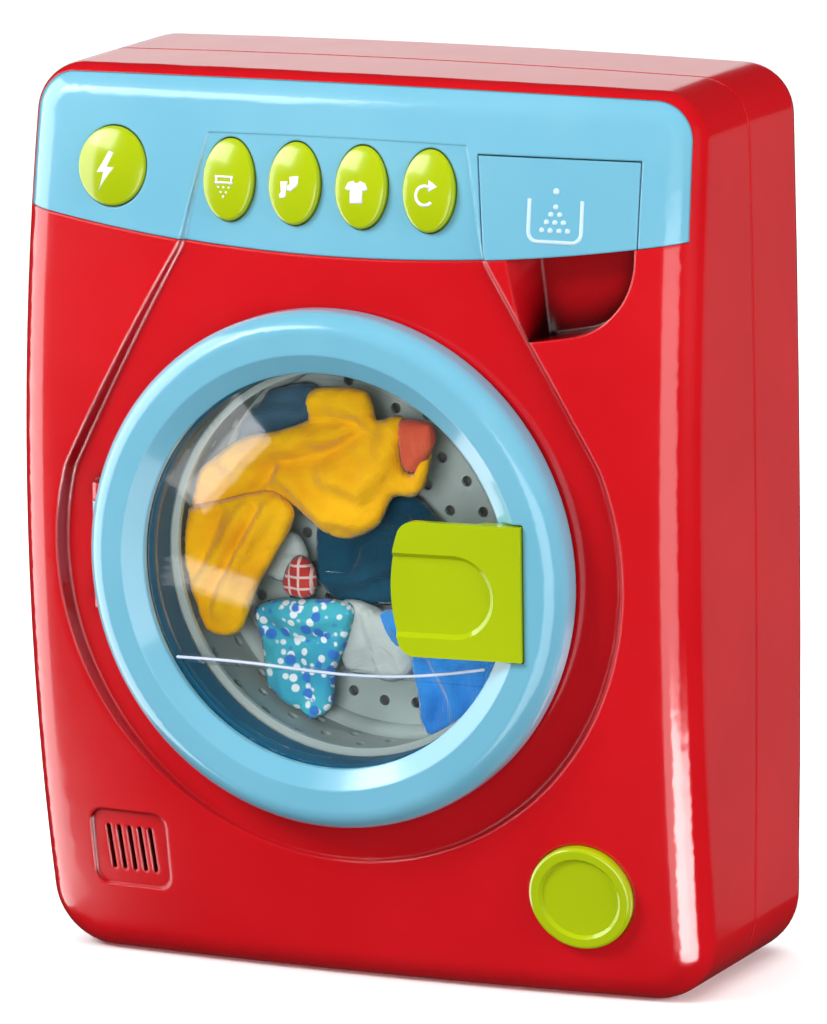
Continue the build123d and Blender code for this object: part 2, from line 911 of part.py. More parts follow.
with BuildPart() as rear_shell:
    add(outer)
    add(shifted(-margin, body_height + margin, -body_width, body_width, seam_depth, body_depth),
        mode=Mode.INTERSECT)
    chamfer(rear_shell.faces().sort_by(Axis.Y)[0].edges(), seam_chamfer)
    add(rear_room.part, mode=Mode.SUBTRACT)
    add(tongue.part)
    add(shifted(bay_hole_low, bay_hole_high, -bay_inner_width / 2, bay_inner_width / 2,
                back_face - cut_past, body_depth + cut_past), mode=Mode.SUBTRACT)
    add(shifted(cover_low, cover_high, -cover_half, cover_half, cover_depth, body_depth + cut_past),
        mode=Mode.SUBTRACT)
    add(rod(*cover_screw_at, screw_radius + thread_gap, back_face - screw_grip - cut_past,
            body_depth + cut_past), mode=Mode.SUBTRACT)
    add(rod(*cover_screw_at, cover_boss_radius + fit_gap, cover_depth - cover_boss_drop,
            body_depth + cut_past), mode=Mode.SUBTRACT)
    for x, z in shell_screws_at:
        add(rod(x, z, screw_radius + 2 * fit_gap, seam_depth - cut_past, body_depth + cut_past),
            mode=Mode.SUBTRACT)
        add(rod(x, z, screw_head + 2 * fit_gap, seam_depth + shell_screw_seat, body_depth + cut_past),
            mode=Mode.SUBTRACT)
    grille = [(speaker_x, speaker_z)]
    for ring in range(1, grille_rings + 1):
        for i in range(holes_per_ring * ring):
            turn = 2 * pi * i / (holes_per_ring * ring)
            reach = ring * grille_pitch
            grille.append((speaker_x + reach * cos(turn), speaker_z + reach * sin(turn)))
    with BuildSketch(front_plane(body_depth + cut_past)):
        with Locations(*grille):
            Circle(grille_hole)
    extrude(amount=shell_wall + 2 * cut_past, mode=Mode.SUBTRACT)
save(rear_shell.part, "rear_shell")

# Control panel: a curved skin that closes the top of the front
panel_outer_zone = panel_zone(fit_gap)
panel_inside = inner_form(panel_wall)
drawer_points = (
    (drawer_top_left, drawer_top_z), (drawer_right, drawer_top_z),
    (drawer_right, panel_edge_mid - margin), (drawer_bottom_left, panel_edge_mid - margin),
)
tabs = []
for x in tab_places:
    edge = panel_edge(x)
    wide = abs(x) + tab_width / 2
    face = skin_y(wide, edge + tab_root, valley_depth + shell_wall, valley_sag) + fit_gap - crown_y
    skin = skin_y(x, edge, valley_depth + panel_wall / 2, valley_sag) - crown_y
    low, high = x - tab_width / 2, x + tab_width / 2
    tabs.append(shifted(edge - tab_length, edge + tab_root, low, high, face, face + tab_wall))
    tabs.append(shifted(edge + tab_lap, edge + tab_root, low, high, skin, face + tab_wall))
with BuildPart() as control_panel:
    add(outer)
    add(panel_inside, mode=Mode.SUBTRACT)
    add(panel_outer_zone, mode=Mode.INTERSECT)
    for tab in tabs:
        add(tab)
    for place in board_boss_places:
        with BuildSketch(board_front):
            with Locations(place):
                Circle(board_boss_radius)
        extrude(amount=boss_rise(place))
        with BuildSketch(board_front):
            with Locations(place):
                Circle(board_screw_radius + thread_gap)
        extrude(amount=board_screw_grip, mode=Mode.SUBTRACT)
    for plane in program_planes:
        with BuildSketch(plane.offset(margin)):
            Ellipse(program_half_width + button_gap, program_half_height + button_gap)
        extrude(amount=-2 * margin, mode=Mode.SUBTRACT)
    with BuildSketch(power_plane.offset(margin)):
        Ellipse(power_half_width + button_gap, power_half_height + button_gap)
    extrude(amount=-2 * margin, mode=Mode.SUBTRACT)
    with BuildSketch(front_plane(panel_reach)):
        with BuildLine():
            Polyline(*drawer_points, close=True)
        make_face()
        offset(amount=drawer_gap, kind=Kind.INTERSECTION)
    extrude(amount=panel_reach + margin, mode=Mode.SUBTRACT)
save(control_panel.part, "control_panel")

# Push buttons: a domed cap, a flange that keeps it in, and a stem that reaches its switch
button_sizes = [(power_half_width, power_half_height)]
button_sizes += [(program_half_width, program_half_height)] * program_count
button_names = ("power_button",) + program_names
for name, plane, (half_w, half_h) in zip(button_names, button_planes, button_sizes):
    rise = on_board(plane)[1]
    back = button_flange_drop + button_flange_wall
    with BuildPart() as button:
        with BuildSketch(plane.offset(-back)):
            Ellipse(half_w, half_h)
        extrude(amount=back + button_crown + margin)
        with Locations(plane.offset(button_crown - button_dome)):
            Sphere(button_dome, mode=Mode.INTERSECT)
        crown = button.faces().filter_by(GeomType.SPHERE)
        fillet(crown.edges(), button_edge)
        with BuildSketch(plane.offset(-back)):
            Ellipse(half_w + button_flange, half_h + button_flange)
        extrude(amount=button_flange_wall)
        with BuildSketch(plane.offset(-back)):
            Circle(stem_radius)
        extrude(amount=-(rise - back - switch_height - 2 * button_travel))
        with BuildSketch(plane.offset(-back)):
            Circle(tip_radius)
        extrude(amount=-(rise - back - switch_height + cut_past))
    save(button.part, name)

# Circuit board behind the buttons, with one switch for each
with BuildPart() as circuit_board:
    with BuildSketch(board_front):
        with Locations((board_x, board_rise)):
            Rectangle(board_width, board_height)
        with Locations(*board_boss_places):
            Circle(board_screw_radius + thread_gap, mode=Mode.SUBTRACT)
    extrude(amount=-board_wall)
save(circuit_board.part, "circuit_board")
with BuildPart() as button_switches:
    for plane in button_planes:
        with BuildSketch(board_front):
            with Locations(on_board(plane)[0]):
                RectangleRounded(switch_side, switch_side, switch_side / 8)
        extrude(amount=switch_height)
    for plane in button_planes:
        with BuildSketch(board_front.offset(switch_height)):
            with Locations(on_board(plane)[0]):
                Circle(tip_radius + tip_gap)
        extrude(amount=-switch_bore_depth, mode=Mode.SUBTRACT)
save(button_switches.part, "button_switches")
with BuildPart() as board_screws:
    for place in board_boss_places:
        with BuildSketch(board_front.offset(-board_wall)):
            with Locations(place):
                Circle(board_screw_radius)
        extrude(amount=board_wall + board_screw_grip - cut_past)
        with BuildSketch(board_front.offset(-board_wall)):
            with Locations(place):
                Circle(board_screw_head)
        extrude(amount=-board_screw_head / 2)
save(board_screws.part, "board_screws")

# Soap drawer: its front is a piece of the panel's skin, its tray is open at the top
drawer_room = inner_form(drawer_front_wall)
with BuildPart() as drawer_front:
    add(outer)
    add(drawer_room, mode=Mode.SUBTRACT)
    add(panel_outer_zone, mode=Mode.INTERSECT)
    with BuildSketch(front_plane(panel_reach)):
        with BuildLine():
            Polyline(*drawer_points, close=True)
        make_face()
    extrude(amount=panel_reach + margin, mode=Mode.INTERSECT)
with BuildPart() as tray:
    add(shifted(tray_floor_z, tray_top_z, tray_left, tray_right, valley_depth, tray_back))
    add(outer, mode=Mode.INTERSECT)
    add(shifted(tray_floor_z + tray_wall, tray_top_z + cut_past, tray_left + tray_wall,
                tray_right - tray_wall, tray_front_depth, tray_back - tray_wall), mode=Mode.SUBTRACT)
with BuildPart() as detergent_drawer:
    add(drawer_front.part)
    add(tray.part)
save(detergent_drawer.part, "detergent_drawer")
side = runner_gap + runner_wall
with BuildPart() as drawer_runner:
    add(shifted(runner_bottom_z, tray_top_z, tray_left - side, tray_right + side,
                runner_front, tray_back + side))
    add(shifted(tray_floor_z - runner_gap, tray_top_z + cut_past, tray_left - runner_gap,
                tray_right + runner_gap, runner_front - cut_past, tray_back + runner_gap),
        mode=Mode.SUBTRACT)
    add(inner, mode=Mode.INTERSECT)
save(drawer_runner.part, "drawer_runner")

# Round cap: a rimmed disc that lies in a shallow seat, held by a split spigot
with BuildPart() as filter_cap:
    with BuildSketch(cap_plane.offset(-cap_seat)):
        Circle(cap_radius)
    extrude(amount=cap_seat + cap_rise)
    fillet(filter_cap.faces().sort_by(Axis.Y)[0].edges(), cap_round)
    with BuildSketch(cap_plane.offset(cap_rise)):
        Circle(cap_radius - cap_rim)
    extrude(amount=-cap_sink, taper=edge_bevel, mode=Mode.SUBTRACT)
    with BuildSketch(cap_plane.offset(-cap_seat)):
        Circle(spigot_radius)
        Circle(spigot_radius - spigot_wall, mode=Mode.SUBTRACT)
    extrude(amount=-spigot_length)
    with BuildSketch(cap_plane.offset(-cap_seat - spigot_wall)):
        for turn in (0, 90):
            Rectangle(2 * cap_radius, spigot_wall, rotation=turn)
    extrude(amount=-spigot_length, mode=Mode.SUBTRACT)
save(filter_cap.part, "filter_cap")

# Door: a moulded ring in front, a flat ring with a tube behind, and the window between them
hinge_relief = knuckle_radius + knuckle_gap
ear_gap = knuckle_gap / 2
knuckle_low = hinge_low + ear_length + ear_gap
knuckle_high = hinge_high - ear_length - ear_gap
reliefs = [
    upright_rod(hinge_relief, hinge_low - cut_past - ear_gap, knuckle_low),
    upright_rod(hinge_relief, knuckle_high, hinge_high + cut_past + ear_gap),
]
screw_turns = [radians(45 + 360 / ring_screw_count * i) for i in range(ring_screw_count)]
ring_screws_at = [
    (door_x + ring_screw_circle * cos(turn), door_z + ring_screw_circle * sin(turn))
    for turn in screw_turns
]
plate_front = ring_back - back_ring_wall
ring_screw_seat = ring_back - ring_screw_sink


def handle_outline(gap):
    """The handle seen from the front: square on the right, bulging on the left."""
    with BuildSketch(front_plane(0)) as outline:
        with BuildLine():
            Polyline(
                (handle_left_corner, handle_bottom), (handle_right, handle_bottom),
                (handle_right, handle_top), (handle_left_corner, handle_top),
            )
            middle = (handle_left_bulge, (handle_top + handle_bottom) / 2)
            ThreePointArc((handle_left_corner, handle_top), middle, (handle_left_corner, handle_bottom))
        make_face()
        fillet(outline.vertices().group_by(Axis.X)[0], handle_corner)
        if gap:
            offset(amount=gap)
    return outline.sketch


handle_plan = handle_outline(0)
handle_pocket = handle_outline(handle_pocket_gap)
with BuildPart() as pocket:
    extrude(handle_pocket, amount=handle_reach + margin)
    add(shifted(0, body_height, -body_width, body_width, handle_seat, margin), mode=Mode.SUBTRACT)
with BuildPart() as door_ring:
    with BuildSketch(turning_plane):
        with BuildLine():
            Polyline(
                (door_radius, ring_front + ring_round), (door_radius, ring_back),
                (door_radius - ring_wall, ring_back),
                (door_radius - ring_wall, ring_front + ring_round),
                (door_radius - ring_round, ring_front + ring_wall), (inner_wall, ring_front + ring_wall),
                (inner_wall, plate_front - seat_gap), (flange_radius + seat_gap, plate_front - seat_gap),
                (flange_radius + seat_gap, lip_back), (lip_radius, lip_back), (lip_radius, lip_front),
                (bevel_radius, ring_front), (door_radius - ring_round, ring_front),
            )
            RadiusArc((door_radius - ring_round, ring_front), (door_radius, ring_front + ring_round),
                      -ring_round)
        make_face()
    revolve(axis=turning_axis)
    for x, z in ring_screws_at:
        add(rod(x, z, ring_boss_radius, ring_front + ring_wall / 2, plate_front - seat_gap))
        add(rod(x, z, ring_screw_radius + thread_gap, ring_front + ring_wall, plate_front),
            mode=Mode.SUBTRACT)
    add(upright_rod(knuckle_radius, knuckle_low, knuckle_high))
    for relief in reliefs:
        add(relief, mode=Mode.SUBTRACT)
    add(upright_rod(pin_radius + pin_running_gap, hinge_low, hinge_high), mode=Mode.SUBTRACT)
    add(pocket.part, mode=Mode.SUBTRACT)
save(door_ring.part, "door_ring")

prong_left = prong_x - prong_wall / 2
prong_right = prong_x + prong_wall / 2
prong_low = prong_z - prong_height / 2
prong_high = prong_z + prong_height / 2
with BuildPart() as door_back_ring:
    add(turned(
        (tube_radius, plate_front - 4 * seat_gap), (flange_radius, plate_front - 4 * seat_gap),
        (flange_radius, plate_front), (door_radius - ring_wall - fit_gap, plate_front),
        (door_radius - ring_wall - fit_gap, ring_back), (tube_radius + tube_wall, ring_back),
        (tube_radius + tube_wall, tube_back), (tube_radius, tube_back),
    ))
    add(shifted(prong_low, prong_high, prong_left, prong_right, plate_front, prong_back))
    with BuildSketch(Plane(origin=(prong_right, at(prong_back - 2 * prong_nose), prong_low))):
        Circle(prong_nose)
    extrude(amount=prong_height)
    add(upright_rod(hinge_relief, hinge_low - cut_past - ear_gap, hinge_high + cut_past + ear_gap),
        mode=Mode.SUBTRACT)
    for x, z in ring_screws_at:
        add(rod(x, z, ring_screw_radius + thread_gap, 0, ring_back + cut_past), mode=Mode.SUBTRACT)
        add(rod(x, z, ring_screw_head + fit_gap, ring_screw_seat, ring_back + cut_past),
            mode=Mode.SUBTRACT)
save(door_back_ring.part, "door_back_ring")
with BuildPart() as door_screws:
    for x, z in ring_screws_at:
        add(screw(x, z, ring_screw_radius, ring_screw_head, ring_screw_sink - seat_gap,
                  ring_screw_seat, ring_screw_seat - ring_front - 2 * ring_wall))
save(door_screws.part, "door_screws")

flange_front = lip_back + seat_gap
flange_back = flange_front + flange_wall
pane_rim = lip_radius - pane_edge
with BuildPart() as pane:
    with BuildSketch(turning_plane):
        with BuildLine():
            front = flange_front - pane_edge - pane_crown
            arc = sag_radius(pane_rim, pane_crown)
            edge_front = front + arc - sqrt(arc**2 - pane_rim**2)
            bulge = front + arc - sqrt(arc**2 - (pane_rim / 2) ** 2)
            ThreePointArc((0, front), (pane_rim / 2, bulge), (pane_rim, edge_front))
            Polyline(
                (pane_rim, edge_front), (pane_rim, flange_front), (flange_radius, flange_front),
                (flange_radius, flange_back), (pane_rim - pane_wall, flange_back),
                (pane_rim - pane_wall, edge_front + pane_wall),
            )
            ThreePointArc((pane_rim - pane_wall, edge_front + pane_wall),
                          (pane_rim / 2, bulge + pane_wall), (0, front + pane_wall))
            Line((0, front + pane_wall), (0, front))
        make_face()
    revolve(axis=turning_axis)
with BuildPart() as ledge:
    with BuildSketch(Plane.YZ.offset(door_x)):
        with BuildLine():
            start = flange_front - pane_edge
            Polyline(
                (at(start), ledge_z), (at(ledge_back), ledge_z - ledge_drop),
                (at(ledge_back), ledge_z - ledge_drop - pane_wall), (at(start), ledge_z - pane_wall),
                close=True,
            )
        make_face()
    extrude(amount=flange_radius, both=True)
    add(rod(door_x, door_z, ledge_radius, lip_front, tube_back), mode=Mode.INTERSECT)
with BuildPart() as door_window:
    add(pane.part)
    add(ledge.part)
save(door_window.part, "door_window")

# Handle: a plate that stands over the window, with a shallow dish for the thumb
with BuildPart() as handle_profile:
    with BuildSketch(Plane.XY.offset(handle_bottom - cut_past)):
        with BuildLine():
            tip = handle_left_bulge - cut_past
            Polyline(
                (tip, at(-handle_reach)), (handle_right + cut_past, at(handle_front_right)),
                (handle_right + cut_past, at(handle_seat)), (handle_root, at(handle_seat)),
                (handle_root - handle_step, at(handle_seat - handle_wall)),
                (tip, at(handle_wall - handle_reach)), close=True,
            )
        make_face()
    extrude(amount=handle_top - handle_bottom + 2 * cut_past)
with BuildPart() as door_handle:
    extrude(handle_plan, amount=handle_reach + margin)
    add(handle_profile.part, mode=Mode.INTERSECT)
    dish_radius_out = (dish_pull_top - dish_pull_bottom) / 2
    lean = (handle_reach + handle_front_right) / (handle_right - handle_left_bulge + 2 * cut_past)
    dish_face = Plane(
        origin=(handle_left_bulge - cut_past, at(-handle_reach), (dish_pull_top + dish_pull_bottom) / 2),
        x_dir=(1, lean, 0), z_dir=(lean, -1, 0),
    )
    with BuildSketch(dish_face) as handle_dish:
        with BuildLine():
            reach = dish_pull_right - handle_left_bulge - dish_radius_out
            Polyline((reach, -dish_radius_out), (-margin, -dish_radius_out), (-margin, dish_radius_out),
                     (reach, dish_radius_out))
            ThreePointArc((reach, dish_radius_out), (reach + dish_radius_out, 0), (reach, -dish_radius_out))
        make_face()
    dish_outline = handle_dish.sketch
    extrude(dish_outline, amount=cut_past, mode=Mode.SUBTRACT)
    extrude(dish_outline, amount=-dish_pull_depth, taper=edge_bevel, mode=Mode.SUBTRACT)
save(door_handle.part, "door_handle")

# Hinge pin, and the catch behind its slot
with BuildPart() as hinge_pin:
    add(upright_rod(pin_radius, hinge_low, hinge_high))
save(hinge_pin.part, "hinge_pin")
with BuildPart() as door_catch:
    room_low, room_high = prong_low - catch_gap, prong_high + catch_gap
    room_left, room_right = prong_left - catch_gap, prong_right + prong_nose + catch_gap
    add(shifted(room_low - catch_wall, room_high + catch_wall, room_left - catch_wall,
                room_right + catch_wall, valley_depth, catch_back + catch_wall))
    add(shifted(room_low, room_high, room_left, room_right, 0, catch_back), mode=Mode.SUBTRACT)
    add(inner, mode=Mode.INTERSECT)
save(door_catch.part, "door_catch")

# Drum: a pierced cup with a rolled mouth and a hub behind it
drum_floor = drum_back - drum_wall
with BuildPart() as drum:
    with BuildSketch(turning_plane):
        with BuildLine():
            Polyline(
                (drum_radius - drum_wall - drum_lip, drum_front), (drum_radius, drum_front),
                (drum_radius, drum_back - drum_round),
            )
            RadiusArc((drum_radius, drum_back - drum_round), (drum_radius - drum_round, drum_back),
                      drum_round)
            Polyline(
                (drum_radius - drum_round, drum_back), (hub_radius, drum_back),
                (hub_radius, drum_back + hub_length), (shaft_radius + thread_gap, drum_back + hub_length),
                (shaft_radius + thread_gap, drum_floor), (drum_radius - drum_round, drum_floor),
            )
            RadiusArc((drum_radius - drum_round, drum_floor),
                      (drum_radius - drum_wall, drum_back - drum_round), drum_wall - drum_round)
            Polyline(
                (drum_radius - drum_wall, drum_back - drum_round),
                (drum_radius - drum_wall, drum_front + drum_wall),
                (drum_radius - drum_wall - drum_lip, drum_front + drum_wall),
                (drum_radius - drum_wall - drum_lip, drum_front),
            )
        make_face()
    revolve(axis=turning_axis)
    row_span = drum_back - drum_front - 2 * drum_round
    for row in range(hole_rows):
        depth = drum_front + drum_round + row_span * (row + 1 / 2) / hole_rows
        for i in range(holes_in_row // 2):
            turn = 2 * pi * (i + row / 2) / holes_in_row
            across = Plane(
                origin=(door_x, at(depth), door_z),
                x_dir=(0, 1, 0), z_dir=(cos(turn), 0, sin(turn)),
            )
            with BuildSketch(across):
                Circle(hole_radius)
            extrude(amount=drum_radius + cut_past, both=True, mode=Mode.SUBTRACT)
    back_holes = []
    for ring in range(2, back_hole_rings + 1):
        for i in range(holes_per_ring * ring):
            turn = 2 * pi * i / (holes_per_ring * ring)
            reach = ring * back_hole_pitch
            back_holes.append((reach * cos(turn), reach * sin(turn)))
    with BuildSketch(door_plane(drum_back + cut_past)):
        with Locations(*back_holes):
            Circle(hole_radius)
    extrude(amount=drum_wall + 2 * cut_past, mode=Mode.SUBTRACT)
save(drum.part, "drum")
with BuildPart() as drum_shaft:
    add(rod(door_x, door_z, shaft_radius, drum_floor, gear_back + shaft_overhang))
save(drum_shaft.part, "drum_shaft")

# Carrier: a plate on four posts of the front shell that holds the bush and the motor
motor_reach = gear_module * (gear_teeth + pinion_teeth) / 2
motor_x = door_x + motor_reach * cos(motor_angle)
motor_z = door_z + motor_reach * sin(motor_angle)
bracket_posts = [(motor_x + bracket_post_out, motor_z + i * bracket_post_side) for i in (-1, 1)]
with BuildPart() as drum_carrier:
    with BuildSketch(door_plane(carrier_back)):
        RectangleRounded(carrier_side, carrier_side, carrier_corner)
        Circle(bush_radius + thread_gap, mode=Mode.SUBTRACT)
    extrude(amount=carrier_wall)
    with BuildSketch(front_plane(carrier_back)):
        with Locations(*posts):
            Circle(screw_radius + 2 * fit_gap)
        with Locations(*bracket_posts):
            Circle(ring_screw_radius + thread_gap)
    extrude(amount=carrier_wall, mode=Mode.SUBTRACT)
save(drum_carrier.part, "drum_carrier")
with BuildPart() as shaft_bush:
    add(turned(
        (shaft_radius + shaft_gap, carrier_front), (bush_radius, carrier_front),
        (bush_radius, carrier_back), (bush_flange, carrier_back),
        (bush_flange, carrier_back + bush_flange_wall),
        (shaft_radius + shaft_gap, carrier_back + bush_flange_wall),
    ))
save(shaft_bush.part, "shaft_bush")
with BuildPart() as carrier_screws:
    for x, z in posts:
        add(screw(x, z, screw_radius, screw_head, screw_head_height, carrier_back,
                  carrier_wall + screw_grip - thread_gap))
save(carrier_screws.part, "carrier_screws")

# Gears: the drum's wheel behind the carrier, and the motor's pinion beside it
gear_rim_radius = gear_module * gear_teeth / 2 - gear_rim
with BuildPart() as drum_gear:
    add(gear_form(gear_teeth, door_x, door_z, motor_angle))
    add(turned(
        (hub_radius, gear_front + gear_web), (gear_rim_radius, gear_front + gear_web),
        (gear_rim_radius, gear_back + cut_past), (hub_radius, gear_back + cut_past),
    ), mode=Mode.SUBTRACT)
    add(rod(door_x, door_z, shaft_radius + thread_gap, gear_front - cut_past, gear_back + cut_past),
        mode=Mode.SUBTRACT)
save(drum_gear.part, "drum_gear")
with BuildPart() as shaft_clip:
    add(turned(
        (shaft_radius + thread_gap, gear_back), (clip_radius, gear_back),
        (clip_radius, gear_back + clip_wall), (shaft_radius + thread_gap, gear_back + clip_wall),
    ))
save(shaft_clip.part, "shaft_clip")
with BuildPart() as motor_pinion:
    add(gear_form(pinion_teeth, motor_x, motor_z, motor_angle + pi + pi / pinion_teeth))
    add(rod(motor_x, motor_z, motor_shaft_radius + thread_gap, gear_front - cut_past,
            gear_back + cut_past), mode=Mode.SUBTRACT)
save(motor_pinion.part, "motor_pinion")

# Motor with its shaft, and the bracket that stands it off the carrier
with BuildPart() as motor_shaft:
    add(rod(motor_x, motor_z, motor_shaft_radius, gear_front, motor_front + motor_bore - cut_past))
save(motor_shaft.part, "motor_shaft")
with BuildPart() as motor:
    with BuildSketch(front_plane(motor_front + motor_length)):
        with Locations((motor_x, motor_z)):
            Circle(motor_radius)
            Rectangle(3 * motor_radius, 2 * motor_flat, mode=Mode.INTERSECT)
    extrude(amount=motor_length)
    add(rod(motor_x, motor_z, motor_boss_radius, motor_front - motor_boss, motor_front))
    add(rod(motor_x, motor_z, motor_shaft_radius + shaft_gap, motor_front - bracket_wall,
            motor_front + motor_bore), mode=Mode.SUBTRACT)
save(motor.part, "motor")
with BuildPart() as motor_bracket:
    with BuildSketch(front_plane(motor_front)):
        with BuildLine():
            out = bracket_post_out + bracket_post_radius
            side_out = bracket_post_side + bracket_post_radius
            Polyline(
                (motor_x - motor_radius, motor_z - motor_flat - bracket_wall),
                (motor_x, motor_z - side_out), (motor_x + out, motor_z - side_out),
                (motor_x + out, motor_z + side_out), (motor_x, motor_z + side_out),
                (motor_x - motor_radius, motor_z + motor_flat + bracket_wall), close=True,
            )
        make_face()
    extrude(amount=bracket_wall)
    for x, z in bracket_posts:
        add(rod(x, z, bracket_post_radius, carrier_back, motor_front))
        add(rod(x, z, ring_screw_radius + thread_gap, carrier_front, motor_front), mode=Mode.SUBTRACT)
    flat = motor_flat + thread_gap
    for low, high in ((-flat - bracket_wall, -flat), (flat, flat + bracket_wall)):
        add(shifted(motor_z + low, motor_z + high, motor_x - motor_shaft_radius - bracket_wall,
                    motor_x + motor_shaft_radius + bracket_wall, motor_front,
                    motor_front + motor_length / 2))
    add(rod(motor_x, motor_z, motor_boss_radius + thread_gap, carrier_back, motor_front), mode=Mode.SUBTRACT)
save(motor_bracket.part, "motor_bracket")
with BuildPart() as bracket_screws:
    for x, z in bracket_posts:
        add(screw(x, z, ring_screw_radius, ring_screw_head, ring_screw_radius, motor_front,
                  motor_front - carrier_front - thread_gap))
save(bracket_screws.part, "bracket_screws")

# Battery tray behind the hatch: three cells side by side between sprung plates
cell_depth = bay_front + bay_wall + thread_gap + cell_radius
cell_pitch = (bay_height - 2 * bay_wall) / cell_count
cell_places = [bay_mid_z + (i - (cell_count - 1) / 2) * cell_pitch for i in range(cell_count)]
with BuildPart() as battery_tray:
    add(shifted(bay_bottom, bay_bottom + bay_height, -bay_width / 2, bay_width / 2, bay_front, back_face))
    add(shifted(bay_hole_low, bay_hole_high, -bay_inner_width / 2, bay_inner_width / 2,
                bay_front + bay_wall, back_face + cut_past), mode=Mode.SUBTRACT)
    for z in cell_places[1:]:
        divider = z - cell_pitch / 2
        add(shifted(divider - divider_wall / 2, divider + divider_wall / 2,
                    contact_wall - bay_inner_width / 2, bay_inner_width / 2 - contact_wall,
                    bay_front, bay_front + bay_wall + divider_height))
save(battery_tray.part, "battery_tray")
for i, z in enumerate(cell_places):
    way = -1 if i % 2 else 1
    with BuildPart() as battery:
        with BuildSketch(Plane(origin=(-way * (cell_length + cell_nub) / 2, at(cell_depth), z),
                               x_dir=(0, 1, 0), z_dir=(way, 0, 0))):
            Circle(cell_radius)
        extrude(amount=cell_length)
        fillet(battery.edges(), cell_nub)
        with BuildSketch(Plane(origin=(way * (cell_length - cell_nub) / 2, at(cell_depth), z),
                               x_dir=(0, 1, 0), z_dir=(way, 0, 0))):
            Circle(cell_nub_radius)
        extrude(amount=cell_nub)
    save(battery.part, f"battery_{i + 1}")
with BuildPart() as battery_contacts:
    for z in cell_places:
        for way in (-1, 1):
            with BuildSketch(Plane(origin=(way * bay_inner_width / 2, at(cell_depth), z),
                                   x_dir=(0, 1, 0), z_dir=(-way, 0, 0))):
                Rectangle(contact_height, contact_height)
            extrude(amount=contact_wall)
            with BuildSketch(Plane(origin=(way * bay_inner_width / 2, at(cell_depth), z),
                                   x_dir=(0, 1, 0), z_dir=(-way, 0, 0))):
                Circle(contact_button_radius)
            extrude(amount=contact_wall + cell_gap - thread_gap)
save(battery_contacts.part, "battery_contacts")
with BuildPart() as battery_cover:
    add(shifted(cover_low + fit_gap, cover_high - fit_gap, fit_gap - cover_half, cover_half - fit_gap,
                cover_depth, body_depth))
    add(rod(*cover_screw_at, cover_boss_radius, cover_depth - cover_boss_drop, cover_depth))
    add(rod(*cover_screw_at, screw_radius + fit_gap, back_face - screw_grip, body_depth), mode=Mode.SUBTRACT)
    add(rod(*cover_screw_at, screw_head + fit_gap, body_depth - cover_screw_sink, body_depth),
        mode=Mode.SUBTRACT)
save(battery_cover.part, "battery_cover")
with BuildPart() as cover_screw:
    add(screw(*cover_screw_at, screw_radius, screw_head, cover_screw_head, body_depth - cover_screw_sink,
              screw_grip - thread_gap))
save(cover_screw.part, "cover_screw")

# Loudspeaker clipped behind its grille
with BuildPart() as speaker:
    add(rod(speaker_x, speaker_z, speaker_radius, back_face - speaker_rim, back_face))
    with BuildSketch(front_plane(back_face - speaker_rim)):
        with Locations((speaker_x, speaker_z)):
            Circle(speaker_radius - speaker_rim)
    extrude(amount=speaker_cone_depth,
            taper=degrees(atan((speaker_radius - speaker_rim - magnet_radius) / speaker_cone_depth)))
    magnet_back = back_face - speaker_rim - speaker_cone_depth
    add(rod(speaker_x, speaker_z, magnet_radius, magnet_back - magnet_length, magnet_back))
save(speaker.part, "speaker")

# Screws that hold the shells together
with BuildPart() as shell_screws:
    for x, z in shell_screws_at:
        add(screw(x, z, screw_radius, screw_head, screw_head_height, seam_depth + shell_screw_seat,
                  shell_screw_seat + shell_screw_grip - thread_gap))
save(shell_screws.part, "shell_screws")

# Laundry in the drum, three layers deep
small_front = shirt_front + shirt_layer + cloth_gap
trousers_front = small_front + small_layer + cloth_gap
trousers_layer = drum_floor - cloth_gap - trousers_front
for name, points, turn, pitch, front, layer in (
    ("yellow_shirt", shirt_points, shirt_turn, shirt_pitch, shirt_front, shirt_layer),
    ("print_cloth", print_points, print_turn, small_pitch, small_front, small_layer),
    ("blue_towel", towel_points, towel_turn, small_pitch, small_front, small_layer),
    ("red_sock", sock_points, sock_turn, small_pitch, small_front, small_layer),
    ("navy_trousers", trousers_points, trousers_turn, trousers_pitch, trousers_front, trousers_layer),
):
    cloth = laundry(points, turn, pitch, front, layer)
    save(cloth, name)
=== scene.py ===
"""Toy washing machine: moulded cabinet, push buttons, porthole door, pierced drum and doll's laundry.

Metres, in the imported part's frame: X to the right, Y to the back, Z up, the door facing -Y.
"""

import math

import bmesh
import bpy
import numpy as np
from mathutils import Matrix, Vector, noise
from mathutils.bvhtree import BVHTree
from mathutils.geometry import delaunay_2d_cdt


